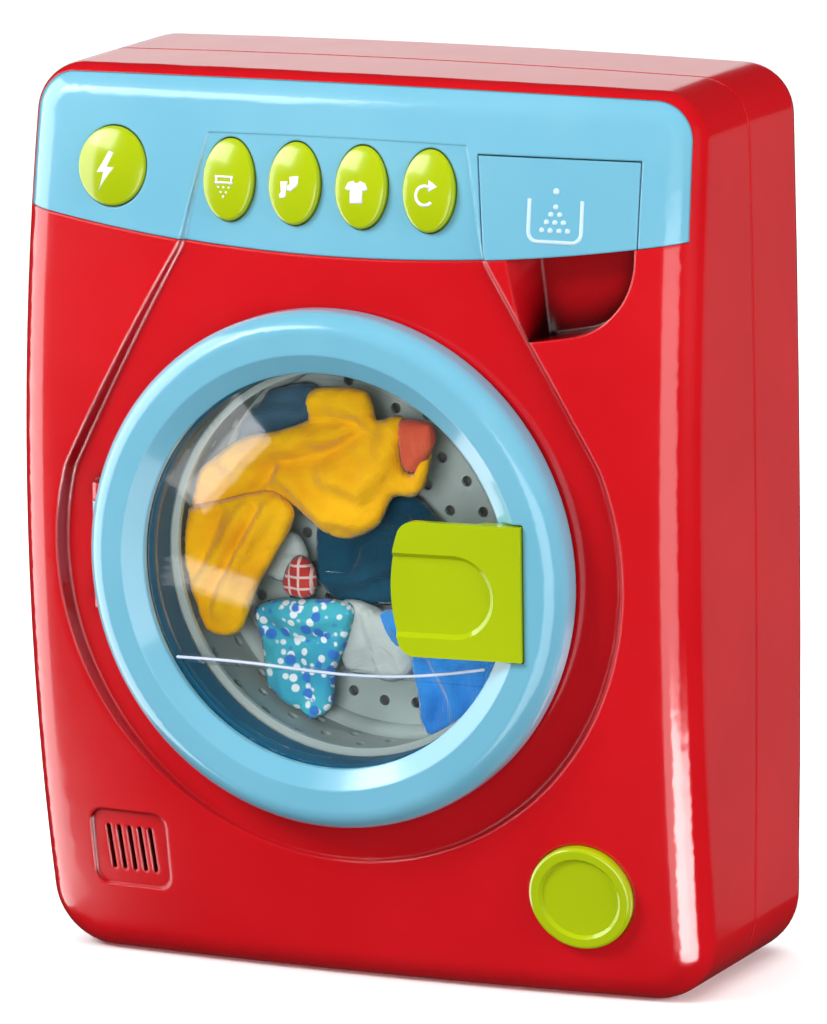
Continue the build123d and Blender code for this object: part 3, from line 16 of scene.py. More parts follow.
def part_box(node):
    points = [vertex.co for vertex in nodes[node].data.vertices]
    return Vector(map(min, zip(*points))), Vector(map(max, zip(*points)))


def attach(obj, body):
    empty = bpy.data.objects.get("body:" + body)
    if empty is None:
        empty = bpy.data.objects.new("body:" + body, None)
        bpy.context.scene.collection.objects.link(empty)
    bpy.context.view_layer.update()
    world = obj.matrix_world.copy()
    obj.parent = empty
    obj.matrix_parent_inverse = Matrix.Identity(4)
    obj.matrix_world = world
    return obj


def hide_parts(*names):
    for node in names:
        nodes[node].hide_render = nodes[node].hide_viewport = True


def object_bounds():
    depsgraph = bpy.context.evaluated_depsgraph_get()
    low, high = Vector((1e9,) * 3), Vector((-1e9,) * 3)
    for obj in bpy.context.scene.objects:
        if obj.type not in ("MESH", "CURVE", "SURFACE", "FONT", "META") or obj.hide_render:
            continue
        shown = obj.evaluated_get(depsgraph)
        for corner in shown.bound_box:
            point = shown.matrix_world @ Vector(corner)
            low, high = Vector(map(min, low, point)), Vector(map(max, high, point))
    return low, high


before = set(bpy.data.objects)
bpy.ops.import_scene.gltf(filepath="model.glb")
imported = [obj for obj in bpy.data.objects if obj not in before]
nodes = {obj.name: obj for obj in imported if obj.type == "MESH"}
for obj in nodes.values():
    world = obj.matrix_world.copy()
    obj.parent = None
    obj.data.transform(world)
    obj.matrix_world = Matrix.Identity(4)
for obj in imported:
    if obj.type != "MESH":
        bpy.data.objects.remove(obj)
cad_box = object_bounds()


# Cabinet shells: two halves injection moulded in glossy red plastic. They meet at a line round the
# sides, where a tongue locates them, and four long screws from the back hold them together.
red_light = (0.660, 0.006, 0.012, 1.0)
red_deep = (0.590, 0.004, 0.009, 1.0)
shell_fold = math.radians(24)


def moulded_plastic(name, light, deep, roughness, coat):
    """Polished injection-moulded plastic with a faint drift of colour, shine and orange peel."""
    material = bpy.data.materials.new(name)
    material.use_nodes = True
    tree = material.node_tree
    shader = tree.nodes["Principled BSDF"]
    shader.inputs["IOR"].default_value = 1.53
    shader.inputs["Coat Weight"].default_value = coat
    shader.inputs["Coat Roughness"].default_value = 0.05
    place = tree.nodes.new("ShaderNodeTexCoord")
    drift = tree.nodes.new("ShaderNodeTexNoise")
    drift.inputs["Scale"].default_value = 22
    drift.inputs["Detail"].default_value = 3
    colours = tree.nodes.new("ShaderNodeValToRGB")
    colours.color_ramp.elements[0].position = 0.3
    colours.color_ramp.elements[0].color = deep
    colours.color_ramp.elements[1].position = 0.7
    colours.color_ramp.elements[1].color = light
    handling = tree.nodes.new("ShaderNodeTexNoise")
    handling.inputs["Scale"].default_value = 75
    handling.inputs["Detail"].default_value = 6
    shine = tree.nodes.new("ShaderNodeMapRange")
    shine.inputs["To Min"].default_value = roughness * 0.8
    shine.inputs["To Max"].default_value = roughness * 1.25
    peel = tree.nodes.new("ShaderNodeTexNoise")
    peel.inputs["Scale"].default_value = 420
    peel.inputs["Detail"].default_value = 2
    bump = tree.nodes.new("ShaderNodeBump")
    bump.inputs["Strength"].default_value = 0.06
    bump.inputs["Distance"].default_value = 0.0002
    link = tree.links.new
    for texture in (drift, handling, peel):
        link(place.outputs["Object"], texture.inputs["Vector"])
    link(drift.outputs["Fac"], colours.inputs["Fac"])
    link(colours.outputs["Color"], shader.inputs["Base Color"])
    link(handling.outputs["Fac"], shine.inputs["Value"])
    link(shine.outputs["Result"], shader.inputs["Roughness"])
    link(peel.outputs["Fac"], bump.inputs["Height"])
    link(bump.outputs["Normal"], shader.inputs["Normal"])
    return material


def dress(name, material, fold):
    """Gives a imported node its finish, and rounds its shading except over folds sharper than given."""
    node = nodes[name]
    for slot in node.material_slots:
        slot.material = material
    for face in node.data.polygons:
        face.use_smooth = True
    weld = node.modifiers.new("weld", "WELD")
    weld.merge_threshold = 0.000002
    split = node.modifiers.new("creases", "EDGE_SPLIT")
    split.split_angle = fold
    even = node.modifiers.new("even", "WEIGHTED_NORMAL")
    even.weight = 60


def paint_shade_in_recesses(material, reach, darkest_shade, low, high):
    """Paints shade into a plastic's colour in hollows no wider than reach, fading out from one height down to
    another.
    """
    tree = material.node_tree
    hollow = tree.nodes.new("ShaderNodeAmbientOcclusion")
    hollow.samples = 6
    hollow.only_local = True
    hollow.inputs["Distance"].default_value = reach
    depth = tree.nodes.new("ShaderNodeMapRange")
    depth.inputs["From Min"].default_value = 0.54
    depth.inputs["From Max"].default_value = 0.90
    depth.inputs["To Min"].default_value = darkest_shade
    place = tree.nodes.new("ShaderNodeSeparateXYZ")
    above = tree.nodes.new("ShaderNodeMapRange")
    above.inputs["From Min"].default_value = low
    above.inputs["From Max"].default_value = high
    shaded = tree.nodes.new("ShaderNodeMix")
    shaded.data_type = "RGBA"
    shaded.blend_type = "MULTIPLY"
    link = tree.links.new
    link(tree.nodes["Texture Coordinate"].outputs["Object"], place.inputs["Vector"])
    link(place.outputs["Z"], above.inputs["Value"])
    link(above.outputs["Result"], shaded.inputs["Factor"])
    link(tree.nodes["Color Ramp"].outputs["Color"], shaded.inputs["A"])
    link(hollow.outputs["AO"], depth.inputs["Value"])
    link(depth.outputs["Result"], shaded.inputs["B"])
    link(shaded.outputs["Result"], tree.nodes["Principled BSDF"].inputs["Base Color"])


def soften_edges(material, radius):
    """Rounds the shading of a plastic's edges, as the mould's own worn edges do."""
    worn_edge = material.node_tree.nodes.new("ShaderNodeBevel")
    worn_edge.samples = 6
    worn_edge.inputs["Radius"].default_value = radius
    material.node_tree.links.new(
        worn_edge.outputs["Normal"], material.node_tree.nodes["Bump"].inputs["Normal"]
    )


red_plastic = moulded_plastic("red_moulded_plastic", red_light, red_deep, 0.16, 0.35)
soften_edges(red_plastic, 0.0012)
# Painted shade: the red is darkened where it closes round a hollow, as in the pocket under the drawer and along the
# creases.
paint_shade_in_recesses(red_plastic, 0.024, 0.03, 0.012, 0.05)
dress("front_shell", red_plastic, shell_fold)
dress("rear_shell", red_plastic, shell_fold)
dress("battery_cover", red_plastic, shell_fold)


# Control panel: a curved skin of light blue plastic snapped into the top of the front shell, and
# the soap drawer, whose front is a piece of the same skin.
blue_light = (0.205, 0.530, 0.700, 1.0)
blue_deep = (0.165, 0.480, 0.650, 1.0)
blue_plastic = moulded_plastic("blue_moulded_plastic", blue_light, blue_deep, 0.15, 0.35)
soften_edges(blue_plastic, 0.0009)
dress("control_panel", blue_plastic, shell_fold)
dress("detergent_drawer", blue_plastic, shell_fold)


# Push buttons and the round cap: lime green domes on sprung stems, pressed square to the board.
green_light = (0.460, 0.585, 0.003, 1.0)
green_deep = (0.405, 0.530, 0.002, 1.0)
button_names = ["power_button", "rinse_button", "socks_button", "shirt_button", "spin_button"]
green_plastic = moulded_plastic("green_moulded_plastic", green_light, green_deep, 0.17, 0.3)
for name in button_names + ["filter_cap", "door_handle"]:
    dress(name, green_plastic, shell_fold)


# Symbols: white ink pad-printed on the domes and on the drawer's front, a little thicker than paint
# so that it catches light: a flash, a wash tub, socks, a shirt, a turning arrow and soap powder.
crown_y = cad_box[0][1] + 0.0105
ink_lift = 0.00006
ink_step = 0.0006


def beside(spots, line):
    """Each spot's distance from a line, less than nothing on its right."""
    nearest = np.full(len(spots), np.inf)
    side = np.ones(len(spots))
    for start, end in zip(line[:-1], line[1:]):
        run = end - start
        away = spots - start
        along = np.clip(away @ run / max(run @ run, 1e-12), 0, 1)
        gap = np.linalg.norm(away - along[:, None] * run, axis=1)
        turn = np.where(run[0] * away[:, 1] - run[1] * away[:, 0] < 0, -1, 1)
        side = np.where(gap < nearest, turn, side)
        nearest = np.minimum(nearest, gap)
    return nearest * side


def within(spots, line):
    """Which spots lie inside a closed line."""
    inside = np.zeros(len(spots), bool)
    for start, end in zip(line, np.roll(line, -1, axis=0)):
        spans = (start[1] > spots[:, 1]) != (end[1] > spots[:, 1])
        rise = end[1] - start[1] if end[1] != start[1] else 1e-12
        cross = start[0] + (spots[:, 1] - start[1]) * (end[0] - start[0]) / rise
        inside ^= spans & (spots[:, 0] < cross)
    return inside


def outline_of(points, width):
    """The closed outline of a pen stroke of one width, in millimetres."""
    points = np.array(points, float)
    spans = [
        start + (end - start) * np.linspace(0, 1, max(2, math.ceil(np.linalg.norm(end - start) / 0.5)))[:-1, None]
        for start, end in zip(points[:-1], points[1:])
    ]
    points = np.vstack([*spans, points[-1:]])
    ahead = np.gradient(points, axis=0)
    ahead /= np.linalg.norm(ahead, axis=1, keepdims=True)
    aside = np.c_[-ahead[:, 1], ahead[:, 0]] * width / 2
    return np.vstack([points + aside, (points - aside)[::-1]])


def ring_of(x, z, radius, start=0, end=360, count=24):
    """Points round a circle, from one angle to another."""
    turns = np.radians(np.linspace(start, end, count))
    return np.c_[x + radius * np.cos(turns), z + radius * np.sin(turns)]


def pad_print(name, shapes, node, body, middle, upright, outward, ink):
    """Prints flat shapes, in millimetres, on the face of a node that a pad pressed along outward meets."""
    outward = Vector(outward).normalized()
    upright = Vector(upright).normalized()
    sideways = upright.cross(outward)
    points = nodes[node].data.vertices
    face_tree = BVHTree.FromPolygons(
        [point.co for point in points], [list(face.vertices) for face in nodes[node].data.polygons]
    )
    form = bmesh.new()
    for shape in shapes:
        line = np.array(shape, float) / 1000
        closed = np.vstack([line, line[:1]])
        columns = np.arange(line[:, 0].min(), line[:, 0].max(), ink_step)
        rows = np.arange(line[:, 1].min(), line[:, 1].max(), ink_step)
        spots = np.array([(x, z) for z in rows for x in columns]).reshape(-1, 2)
        spots = spots[within(spots, line) & (abs(beside(spots, closed)) > ink_step * 0.4)]
        flat, _, faces, *_ = delaunay_2d_cdt(
            [Vector(spot) for spot in np.vstack([line, spots])], [], [list(range(len(line)))], 1, 1e-8
        )
        corner = []
        for spot in flat:
            start = Vector(middle) + sideways * spot.x + upright * spot.y + outward * 0.01
            place, normal, _, _ = face_tree.ray_cast(start, -outward)
            corner.append(form.verts.new(place + normal * ink_lift))
        for face in faces:
            form.faces.new([corner[index] for index in face]).smooth = True
    mesh = bpy.data.meshes.new(name)
    form.to_mesh(mesh)
    form.free()
    mesh.materials.append(ink)
    print_piece = bpy.data.objects.new(name, mesh)
    bpy.context.collection.objects.link(print_piece)
    film = print_piece.modifiers.new("film", "SOLIDIFY")
    film.thickness = ink_lift
    film.offset = -1
    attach(print_piece, body)


white_ink = moulded_plastic("white_ink", (0.88, 0.90, 0.86, 1), (0.78, 0.82, 0.76, 1), 0.35, 0)
pale_ink = moulded_plastic("pale_blue_ink", (0.62, 0.80, 0.90, 1), (0.54, 0.74, 0.86, 1), 0.35, 0)
press_out = (0, -0.98763, 0.15681)
press_up = (0, 0.15681, 0.98763)
flash = [(0.9, 5.6), (-2.6, -0.4), (-0.4, -0.2), (-2.0, -5.6), (2.8, 1.2), (0.5, 1.2), (2.4, 5.2)]
tub = [
    outline_of([(-2.7, 2.0), (2.7, 2.0)], 0.7), outline_of([(-2.7, 0.4), (2.7, 0.4)], 0.7),
    outline_of([(-2.4, 2.2), (-2.1, -0.2)], 0.6), outline_of([(2.4, 2.2), (2.1, -0.2)], 0.6),
    *(
        ring_of(x, z, 0.36, count=11)[:-1]
        for x, z in ((-1.6, -0.9), (0, -0.9), (1.6, -0.9), (-0.8, -2.2), (0.8, -2.2), (0, -3.4))
    ),
]
socks = [
    [(-0.2, 3.0), (2.4, 3.4), (2.3, 0.8), (0.4, -1.0), (-0.9, -0.6), (-0.8, 0.6), (0, 1.0)],
    [(-2.9, 1.6), (-0.7, 1.8), (-1.0, -0.4), (-1.2, -2.6), (-3.0, -3.0), (-3.2, -1.8), (-2.6, -1.2)],
]
vest = [[
    (-1.0, 3.0), (-2.6, 2.4), (-3.4, 0.8), (-2.4, 0.1), (-1.9, 0.6), (-1.9, -3.2), (1.9, -3.2), (1.9, 0.6),
    (2.4, 0.1), (3.4, 0.8), (2.6, 2.4), (1.0, 3.0), (0.5, 2.4), (-0.5, 2.4),
]]
spinning = [
    outline_of(ring_of(0, 0, 2.6, 60, 320), 0.9),
    [(1.0, 4.3), (3.6, 2.6), (0.9, 0.9)],
]
for name, shapes, across_mm, up_mm in (
    ("power", [flash], -72.6, 222.7),
    ("rinse", tub, -36.0, 221.0),
    ("socks", socks, -15.9, 221.0),
    ("shirt", vest, 3.9, 221.0),
    ("spin", spinning, 24.0, 221.0),
):
    pad_print(
        name + "_symbol", shapes, name + "_button", name + "_button",
        (across_mm / 1000, crown_y, up_mm / 1000), press_up, press_out, white_ink,
    )
tub_round = ring_of(-4.9, -3.6, 2.6, 180, 270, 7), ring_of(4.9, -3.6, 2.6, 270, 360, 7)
soap_dots = [(0, 7.4, 0.95), (0, 3.2, 0.8)]
soap_dots += [(-1.25, 1.2, 0.75), (1.25, 1.2, 0.75)]
soap_dots += [(-2.4, -0.9, 0.75), (0, -0.9, 0.75), (2.4, -0.9, 0.75)]
soap_dots += [(-3.7, -3.1, 0.75), (-1.25, -3.1, 0.75), (1.25, -3.1, 0.75), (3.7, -3.1, 0.75)]
pad_print(
    "soap_symbol",
    [
        outline_of([(-7.5, 5.2), (-7.5, 1.0), *tub_round[0], (0, -6.2), *tub_round[1], (7.5, 1.0), (7.5, 5.2)], 1.1),
        *(ring_of(x, z, radius, count=13)[:-1] for x, z, radius in soap_dots),
    ],
    "detergent_drawer", "drawer", (0.0615, crown_y, 0.2165), (0, 0.14, 1), (0.05, -1, 0.14), pale_ink,
)


# Circuit board behind the buttons: phenolic laminate with five black switches and steel screws.
board_material = moulded_plastic("board_laminate", (0.33, 0.22, 0.09, 1), (0.26, 0.17, 0.07, 1), 0.5, 0)
dress("circuit_board", board_material, shell_fold)
black_plastic = moulded_plastic("black_moulded_plastic", (0.03, 0.03, 0.03, 1), (0.02, 0.02, 0.02, 1), 0.4, 0)
white_plastic = moulded_plastic("white_moulded_plastic", (0.7, 0.7, 0.67, 1), (0.62, 0.62, 0.6, 1), 0.35, 0)
for name in ("button_switches", "motor_bracket", "battery_tray", "speaker"):
    dress(name, black_plastic, shell_fold)
for name in ("drawer_runner", "door_catch", "drum_carrier", "drum_gear"):
    dress(name, white_plastic, shell_fold)


# Fasteners and turned metal.
def turned_metal(name, light, deep, roughness):
    """Plated or turned metal with fine uneven shine."""
    material = moulded_plastic(name, light, deep, roughness, 0)
    material.node_tree.nodes["Principled BSDF"].inputs["Metallic"].default_value = 1
    return material


steel = turned_metal("plated_steel", (0.62, 0.62, 0.61, 1), (0.5, 0.5, 0.5, 1), 0.3)
brass = turned_metal("turned_brass", (0.78, 0.58, 0.25, 1), (0.7, 0.5, 0.2, 1), 0.28)
for name in (
    "board_screws", "door_screws", "hinge_pin", "drum_shaft", "carrier_screws", "shaft_clip",
    "motor_shaft", "motor", "bracket_screws", "battery_contacts", "cover_screw", "shell_screws",
):
    dress(name, steel, shell_fold)
for name in ("shaft_bush", "motor_pinion"):
    dress(name, brass, shell_fold)
cell_jacket = moulded_plastic("cell_jacket", (0.1, 0.11, 0.12, 1), (0.06, 0.07, 0.08, 1), 0.3, 0)
for name in ("battery_1", "battery_2", "battery_3"):
    dress(name, cell_jacket, shell_fold)


# Door: light blue ring in front, dark blue ring and tube behind, a clear domed window between.
tube_blue = moulded_plastic("dark_blue_plastic", (0.006, 0.12, 0.22, 1), (0.004, 0.09, 0.18, 1), 0.5, 0)
dress("door_ring", blue_plastic, shell_fold)
dress("door_back_ring", tube_blue, shell_fold)


def clear_styrene(name):
    """Clear moulded styrene: lets all but a little light through and mirrors by its angle."""
    material = bpy.data.materials.new(name)
    material.use_nodes = True
    tree = material.node_tree
    tree.nodes.remove(tree.nodes["Principled BSDF"])
    link = tree.links.new
    clear = tree.nodes.new("ShaderNodeBsdfTransparent")
    clear.inputs["Color"].default_value = (0.955, 0.965, 0.97, 1)
    gloss = tree.nodes.new("ShaderNodeBsdfGlossy")
    gloss.inputs["Roughness"].default_value = 0.03
    fresnel = tree.nodes.new("ShaderNodeFresnel")
    fresnel.inputs["IOR"].default_value = 1.55
    place = tree.nodes.new("ShaderNodeTexCoord")
    ripple = tree.nodes.new("ShaderNodeTexNoise")
    ripple.inputs["Scale"].default_value = 30
    bump = tree.nodes.new("ShaderNodeBump")
    bump.inputs["Strength"].default_value = 0.05
    bump.inputs["Distance"].default_value = 0.001
    mirrored = tree.nodes.new("ShaderNodeMath")
    mirrored.operation = "MINIMUM"
    mirrored.inputs[1].default_value = 0.22
    mix = tree.nodes.new("ShaderNodeMixShader")
    link(place.outputs["Object"], ripple.inputs["Vector"])
    link(ripple.outputs["Fac"], bump.inputs["Height"])
    link(bump.outputs["Normal"], gloss.inputs["Normal"])
    link(bump.outputs["Normal"], fresnel.inputs["Normal"])
    link(fresnel.outputs["Fac"], mirrored.inputs[0])
    link(mirrored.outputs["Value"], mix.inputs["Fac"])
    link(clear.outputs["BSDF"], mix.inputs[1])
    link(gloss.outputs["BSDF"], mix.inputs[2])
    link(mix.outputs["Shader"], tree.nodes["Material Output"].inputs["Surface"])
    return material


dress("door_window", clear_styrene("clear_styrene"), shell_fold)


# Ledge of the window: the clear pane has a shelf behind it. A pale line laid along the root where the two meet is
# painted highlight, standing in for the light the ledge catches; it shows through the pane as a bright curved line.
root_points = [
    (-49.4, 89.6), (-36, 90.0), (-23.3, 89.9), (-4.8, 88.9), (11.3, 88.8), (27.4, 90.2), (43, 93.2),
]
pane_tree = BVHTree.FromPolygons(
    [point.co for point in nodes["door_window"].data.vertices],
    [list(face.vertices) for face in nodes["door_window"].data.polygons],
)
root_line = bpy.data.curves.new("window_ledge_root", "CURVE")
root_line.dimensions = "3D"
root_line.bevel_depth = 0.00045
root_line.bevel_resolution = 3
root_line.use_fill_caps = True
root_run = root_line.splines.new("NURBS")
root_run.points.add(len(root_points) - 1)
for point, (x, z) in zip(root_run.points, root_points):
    front = pane_tree.ray_cast(Vector((x / 1000, crown_y - 0.05, z / 1000)), Vector((0, 1, 0)))[0]
    point.co = (front.x, front.y + 0.0006, front.z, 1)
root_run.use_endpoint_u = True
root_run.order_u = 4
# Painted highlight: a pale bluish white for the bright line along the ledge.
ledge_highlight_paint = moulded_plastic("ledge_highlight_styrene", (0.56, 0.61, 0.76, 1), (0.44, 0.52, 0.70, 1), 0.25, 0)
root_line.materials.append(ledge_highlight_paint)
ledge_root = bpy.data.objects.new("window_ledge_root", root_line)
bpy.context.collection.objects.link(ledge_root)
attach(ledge_root, "door")


# Drum: pale grey pierced cup.
drum_grey = moulded_plastic("drum_grey_plastic", (0.43, 0.50, 0.47, 1), (0.36, 0.43, 0.41, 1), 0.4, 0)
dress("drum", drum_grey, shell_fold)


# Laundry: doll's clothes in soft cotton, crumpled by hand and packed into the drum in three layers,
# the trousers at the back and the yellow shirt against the window. They tumble with the drum.
drum_low, drum_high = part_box("drum")
drum_middle = np.array([drum_low[0] + drum_high[0], drum_low[2] + drum_high[2]]) / 2
laundry_reach = 0.0543
cloth_thick = 0.0005
cloth_mesh = 0.0011
edge_roll = 0.0020


def cotton(name, light, deep, thread, fuzz):
    """Soft cotton: two shades that drift over the cloth, fine threads, and a bloom of short fibres."""
    material = bpy.data.materials.new(name)
    material.use_nodes = True
    tree = material.node_tree
    shader = tree.nodes["Principled BSDF"]
    shader.inputs["Sheen Weight"].default_value = fuzz
    shader.inputs["Sheen Roughness"].default_value = 0.4
    shader.inputs["Specular IOR Level"].default_value = 0.2
    place = tree.nodes.new("ShaderNodeTexCoord")
    drift = tree.nodes.new("ShaderNodeTexNoise")
    drift.inputs["Scale"].default_value = 60
    drift.inputs["Detail"].default_value = 4
    shades = tree.nodes.new("ShaderNodeValToRGB")
    shades.color_ramp.elements[0].position = 0.32
    shades.color_ramp.elements[0].color = deep
    shades.color_ramp.elements[1].position = 0.62
    shades.color_ramp.elements[1].color = light
    pile = tree.nodes.new("ShaderNodeTexNoise")
    pile.inputs["Scale"].default_value = 900
    rough = tree.nodes.new("ShaderNodeMapRange")
    rough.inputs["To Min"].default_value = 0.72
    rough.inputs["To Max"].default_value = 0.95
    warp = tree.nodes.new("ShaderNodeTexWave")
    warp.bands_direction = "X"
    weft = tree.nodes.new("ShaderNodeTexWave")
    weft.bands_direction = "Z"
    for threads in (warp, weft):
        threads.inputs["Scale"].default_value = 0.314 / thread
        threads.inputs["Distortion"].default_value = 0.6
    weave = tree.nodes.new("ShaderNodeMath")
    weave.operation = "MAXIMUM"
    bump = tree.nodes.new("ShaderNodeBump")
    bump.inputs["Strength"].default_value = 0.35
    bump.inputs["Distance"].default_value = thread / 3
    creases = tree.nodes.new("ShaderNodeTexNoise")
    creases.inputs["Scale"].default_value = 70
    creases.inputs["Detail"].default_value = 3
    creases.inputs["Distortion"].default_value = 1.4
    rumple = tree.nodes.new("ShaderNodeBump")
    rumple.inputs["Strength"].default_value = 0.7
    rumple.inputs["Distance"].default_value = 0.0022
    link = tree.links.new
    for texture in (drift, pile, warp, weft, creases):
        link(place.outputs["Object"], texture.inputs["Vector"])
    link(drift.outputs["Fac"], shades.inputs["Fac"])
    link(shades.outputs["Color"], shader.inputs["Base Color"])
    link(pile.outputs["Fac"], rough.inputs["Value"])
    link(rough.outputs["Result"], shader.inputs["Roughness"])
    link(warp.outputs["Fac"], weave.inputs[0])
    link(weft.outputs["Fac"], weave.inputs[1])
    link(creases.outputs["Fac"], rumple.inputs["Height"])
    link(rumple.outputs["Normal"], bump.inputs["Normal"])
    link(weave.outputs["Value"], bump.inputs["Height"])
    link(bump.outputs["Normal"], shader.inputs["Normal"])
    return material


def cut_line(corners):
    """The smooth closed line through a cloth's corners, in metres, kept inside the drum."""
    corners = np.array(corners) / 1000
    before, after, beyond = (np.roll(corners, step, axis=0) for step in (1, -1, -2))
    share = np.linspace(0, 1, 6)[:-1, None, None]
    line = 0.5 * (
        2 * corners
        + (after - before) * share
        + (2 * before - 5 * corners + 4 * after - beyond) * share ** 2
        + (3 * corners - before - 3 * after + beyond) * share ** 3
    )
    line = line.transpose(1, 0, 2).reshape(-1, 2) - drum_middle
    far = np.linalg.norm(line, axis=1, keepdims=True)
    return drum_middle + line * np.minimum(1, laundry_reach / far)


def crumple(form, corners, depth, folds, ripple, seed, finish=0):
    """Adds to form one sheet of cloth: a smooth cut line, raised folds, and edges rolled to the back.

    A fold is (height, width left of it, width right of it, points), all in millimetres.
    """
    line = cut_line(corners)
    columns = np.arange(line[:, 0].min(), line[:, 0].max(), cloth_mesh)
    rows = np.arange(line[:, 1].min(), line[:, 1].max(), cloth_mesh)
    spots = np.array([(x + (index % 2) * cloth_mesh / 2, z) for index, z in enumerate(rows) for x in columns])
    closed = np.vstack([line, line[:1]])
    spots = spots[within(spots, line) & (abs(beside(spots, closed)) > cloth_mesh * 0.6)]
    spots = np.vstack([line, spots])
    flat, _, faces, *_ = delaunay_2d_cdt(
        [Vector(spot) for spot in spots], [], [list(range(len(line)))], 1, 1e-7
    )
    spots = np.array(flat)
    wander = np.array([
        (noise.noise(Vector((x * 90, z * 90, seed))), noise.noise(Vector((x * 90, z * 90, seed + 7.7))))
        for x, z in spots
    ])
    bent = spots + wander * 0.0016
    back = np.full(len(spots), depth / 1000)
    for height, left, right, path in folds:
        gap = beside(bent, np.array(path) / 1000)
        width = np.where(gap > 0, left, right) / 1000
        back -= height / 1000 * np.exp(-((gap / width) ** 2))
    for index, (x, z) in enumerate(spots):
        swell = noise.noise(Vector((x * 45, z * 75, seed + 2.1)))
        pinch = 1 - abs(noise.noise(Vector((x * 120 + z * 60, z * 85, seed + 4.3)))) * 2
        back[index] -= ripple / 1000 * (swell + 0.45 * pinch)
    inset = np.clip(abs(beside(spots, closed)) / edge_roll, 0, 1)
    back += edge_roll * (1 - np.sqrt(1 - (1 - inset) ** 2))
    corner = [form.verts.new((x, crown_y + y, z)) for (x, z), y in zip(spots, back)]
    for face in faces:
        made = form.faces.new([corner[index] for index in face])
        made.smooth = True
        made.material_index = finish


def laundered(name, form, materials, node):
    """Finishes a garment: thickness, materials, its body, and hides its node."""
    bmesh.ops.recalc_face_normals(form, faces=form.faces)
    area = sum(face.calc_area() for face in form.faces)
    mesh = bpy.data.meshes.new(name)
    form.to_mesh(mesh)
    form.free()
    piece = bpy.data.objects.new(name, mesh)
    bpy.context.collection.objects.link(piece)
    for material in materials:
        mesh.materials.append(material)
    body = piece.modifiers.new("cloth", "SOLIDIFY")
    body.thickness = cloth_thick
    body.offset = 0
    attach(piece, "drum")
    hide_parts(node)
    return piece


yellow_jersey = cotton("yellow_jersey", (0.93, 0.50, 0.008, 1), (0.80, 0.36, 0.006, 1), 0.0006, 0.25)
coral_jersey = cotton("coral_jersey", (0.72, 0.13, 0.06, 1), (0.60, 0.07, 0.04, 1), 0.0006, 0.25)
shirt = bmesh.new()
crumple(
    shirt,
    [
        (-60, 124), (-57, 134), (-49, 141), (-41, 146.5), (-31.6, 148.8), (-21.6, 152.6), (-20.9, 159.1),
        (-17.3, 162), (-4.6, 162.3), (-1.2, 158.2), (-0.1, 154), (5.7, 155.5), (8.2, 153.5),
        (7.2, 142.8), (10, 139.8), (15.3, 148.1), (15.8, 144.5), (14, 136.9), (9.9, 133.4),
        (4.1, 132.8), (-0.6, 124.7), (-8.8, 120.6), (-15.8, 121.4), (-21.6, 125.3), (-25.6, 128.3),
        (-32, 129), (-46, 124),
    ],
    23.6,
    [
        (-2.6, 2.2, 1.2, [(-45.5, 126.9), (-39, 130.6), (-31.8, 137)]),
        (-2.4, 1.3, 2.6, [(-31.8, 139.7), (-24.7, 141.2), (-16.5, 143.4), (-9.5, 148.1), (-4.2, 150.6)]),
        (-2.0, 1.2, 2.2, [(-21.6, 151.6), (-14, 153.1), (-6.5, 153.6)]),
        (2.6, 3.4, 2.2, [(-30.1, 137.1), (-23.7, 133.2), (-15.7, 126.3), (-7.6, 124.7)]),
        (2.8, 3.8, 3.0, [(-14.3, 137.1), (-5.1, 134.5), (2, 141.4), (4.4, 151.1)]),
        (2.2, 3.5, 2.0, [(-44, 139), (-33, 143.6), (-22, 147), (-11, 150)]),
        (2.0, 3.0, 2.5, [(-18, 157.5), (-10, 158.6), (-4, 157)]),
        (1.6, 2.0, 2.0, [(12.4, 136.5), (14.6, 143)]),
    ],
    0.9, 3.1,
)
crumple(
    shirt,
    [
        (-61.6, 123.8), (-55.1, 126.9), (-46.8, 128.9), (-38, 131.4), (-30.4, 132.2), (-24.6, 126.6),
        (-30.6, 114.7), (-36.7, 104.5), (-42.3, 92.2), (-52.3, 92.3), (-58.1, 99.7), (-61.3, 112.4),
    ],
    21.0,
    [
        (2.6, 2.6, 1.6, [(-30.4, 127.6), (-41.2, 113.9), (-47.5, 98.3)]),
        (-1.6, 1.4, 1.6, [(-35.2, 127), (-43.8, 115), (-49.6, 103)]),
        (2.2, 2.4, 1.8, [(-38.6, 126.9), (-47.1, 115.6), (-53.2, 104.5)]),
        (-1.4, 1.6, 1.4, [(-45.6, 125.4), (-51.6, 115), (-55.2, 106)]),
        (1.6, 2.4, 2.0, [(-52.8, 123.9), (-56.5, 115), (-56.8, 104.1)]),
    ],
    0.6, 8.4,
)
crumple(
    shirt,
    [(7.6, 154.6), (16.4, 154.2), (17.4, 148.4), (12.0, 141.0), (8.4, 141.6), (7.2, 147)],
    22.0,
    [(1.2, 2.0, 1.5, [(12, 152.5), (12.4, 145)])],
    0.6, 5.2, 1,
)
laundered(
    "doll_shirt", shirt, [yellow_jersey, coral_jersey], "yellow_shirt",
)

navy_drill = cotton("navy_drill", (0.014, 0.085, 0.140, 1), (0.008, 0.052, 0.095, 1), 0.0008, 0.35)
slate_drill = cotton("slate_drill", (0.060, 0.135, 0.200, 1), (0.040, 0.095, 0.150, 1), 0.0008, 0.35)
trousers = bmesh.new()
crumple(
    trousers,
    [
        (-24.5, 124), (-16.4, 126), (-8.2, 127), (-2, 131), (4.2, 130.4), (10.5, 125.4), (14.5, 119),
        (13, 108), (4, 101.5), (-13, 98.8), (-22.4, 101), (-26.0, 110),
    ],
    38.2,
    [
        (-2.4, 2.4, 1.4, [(-15.4, 108.2), (-13, 114.8), (-5.9, 119.6), (2, 123)]),
        (2.6, 4.0, 2.2, [(-22, 106), (-12, 106), (0, 112), (8, 120)]),
        (2.2, 3.4, 3.0, [(-18.5, 121), (-9.5, 123), (-1, 128.4)]),
    ],
    0.9, 12.6,
)
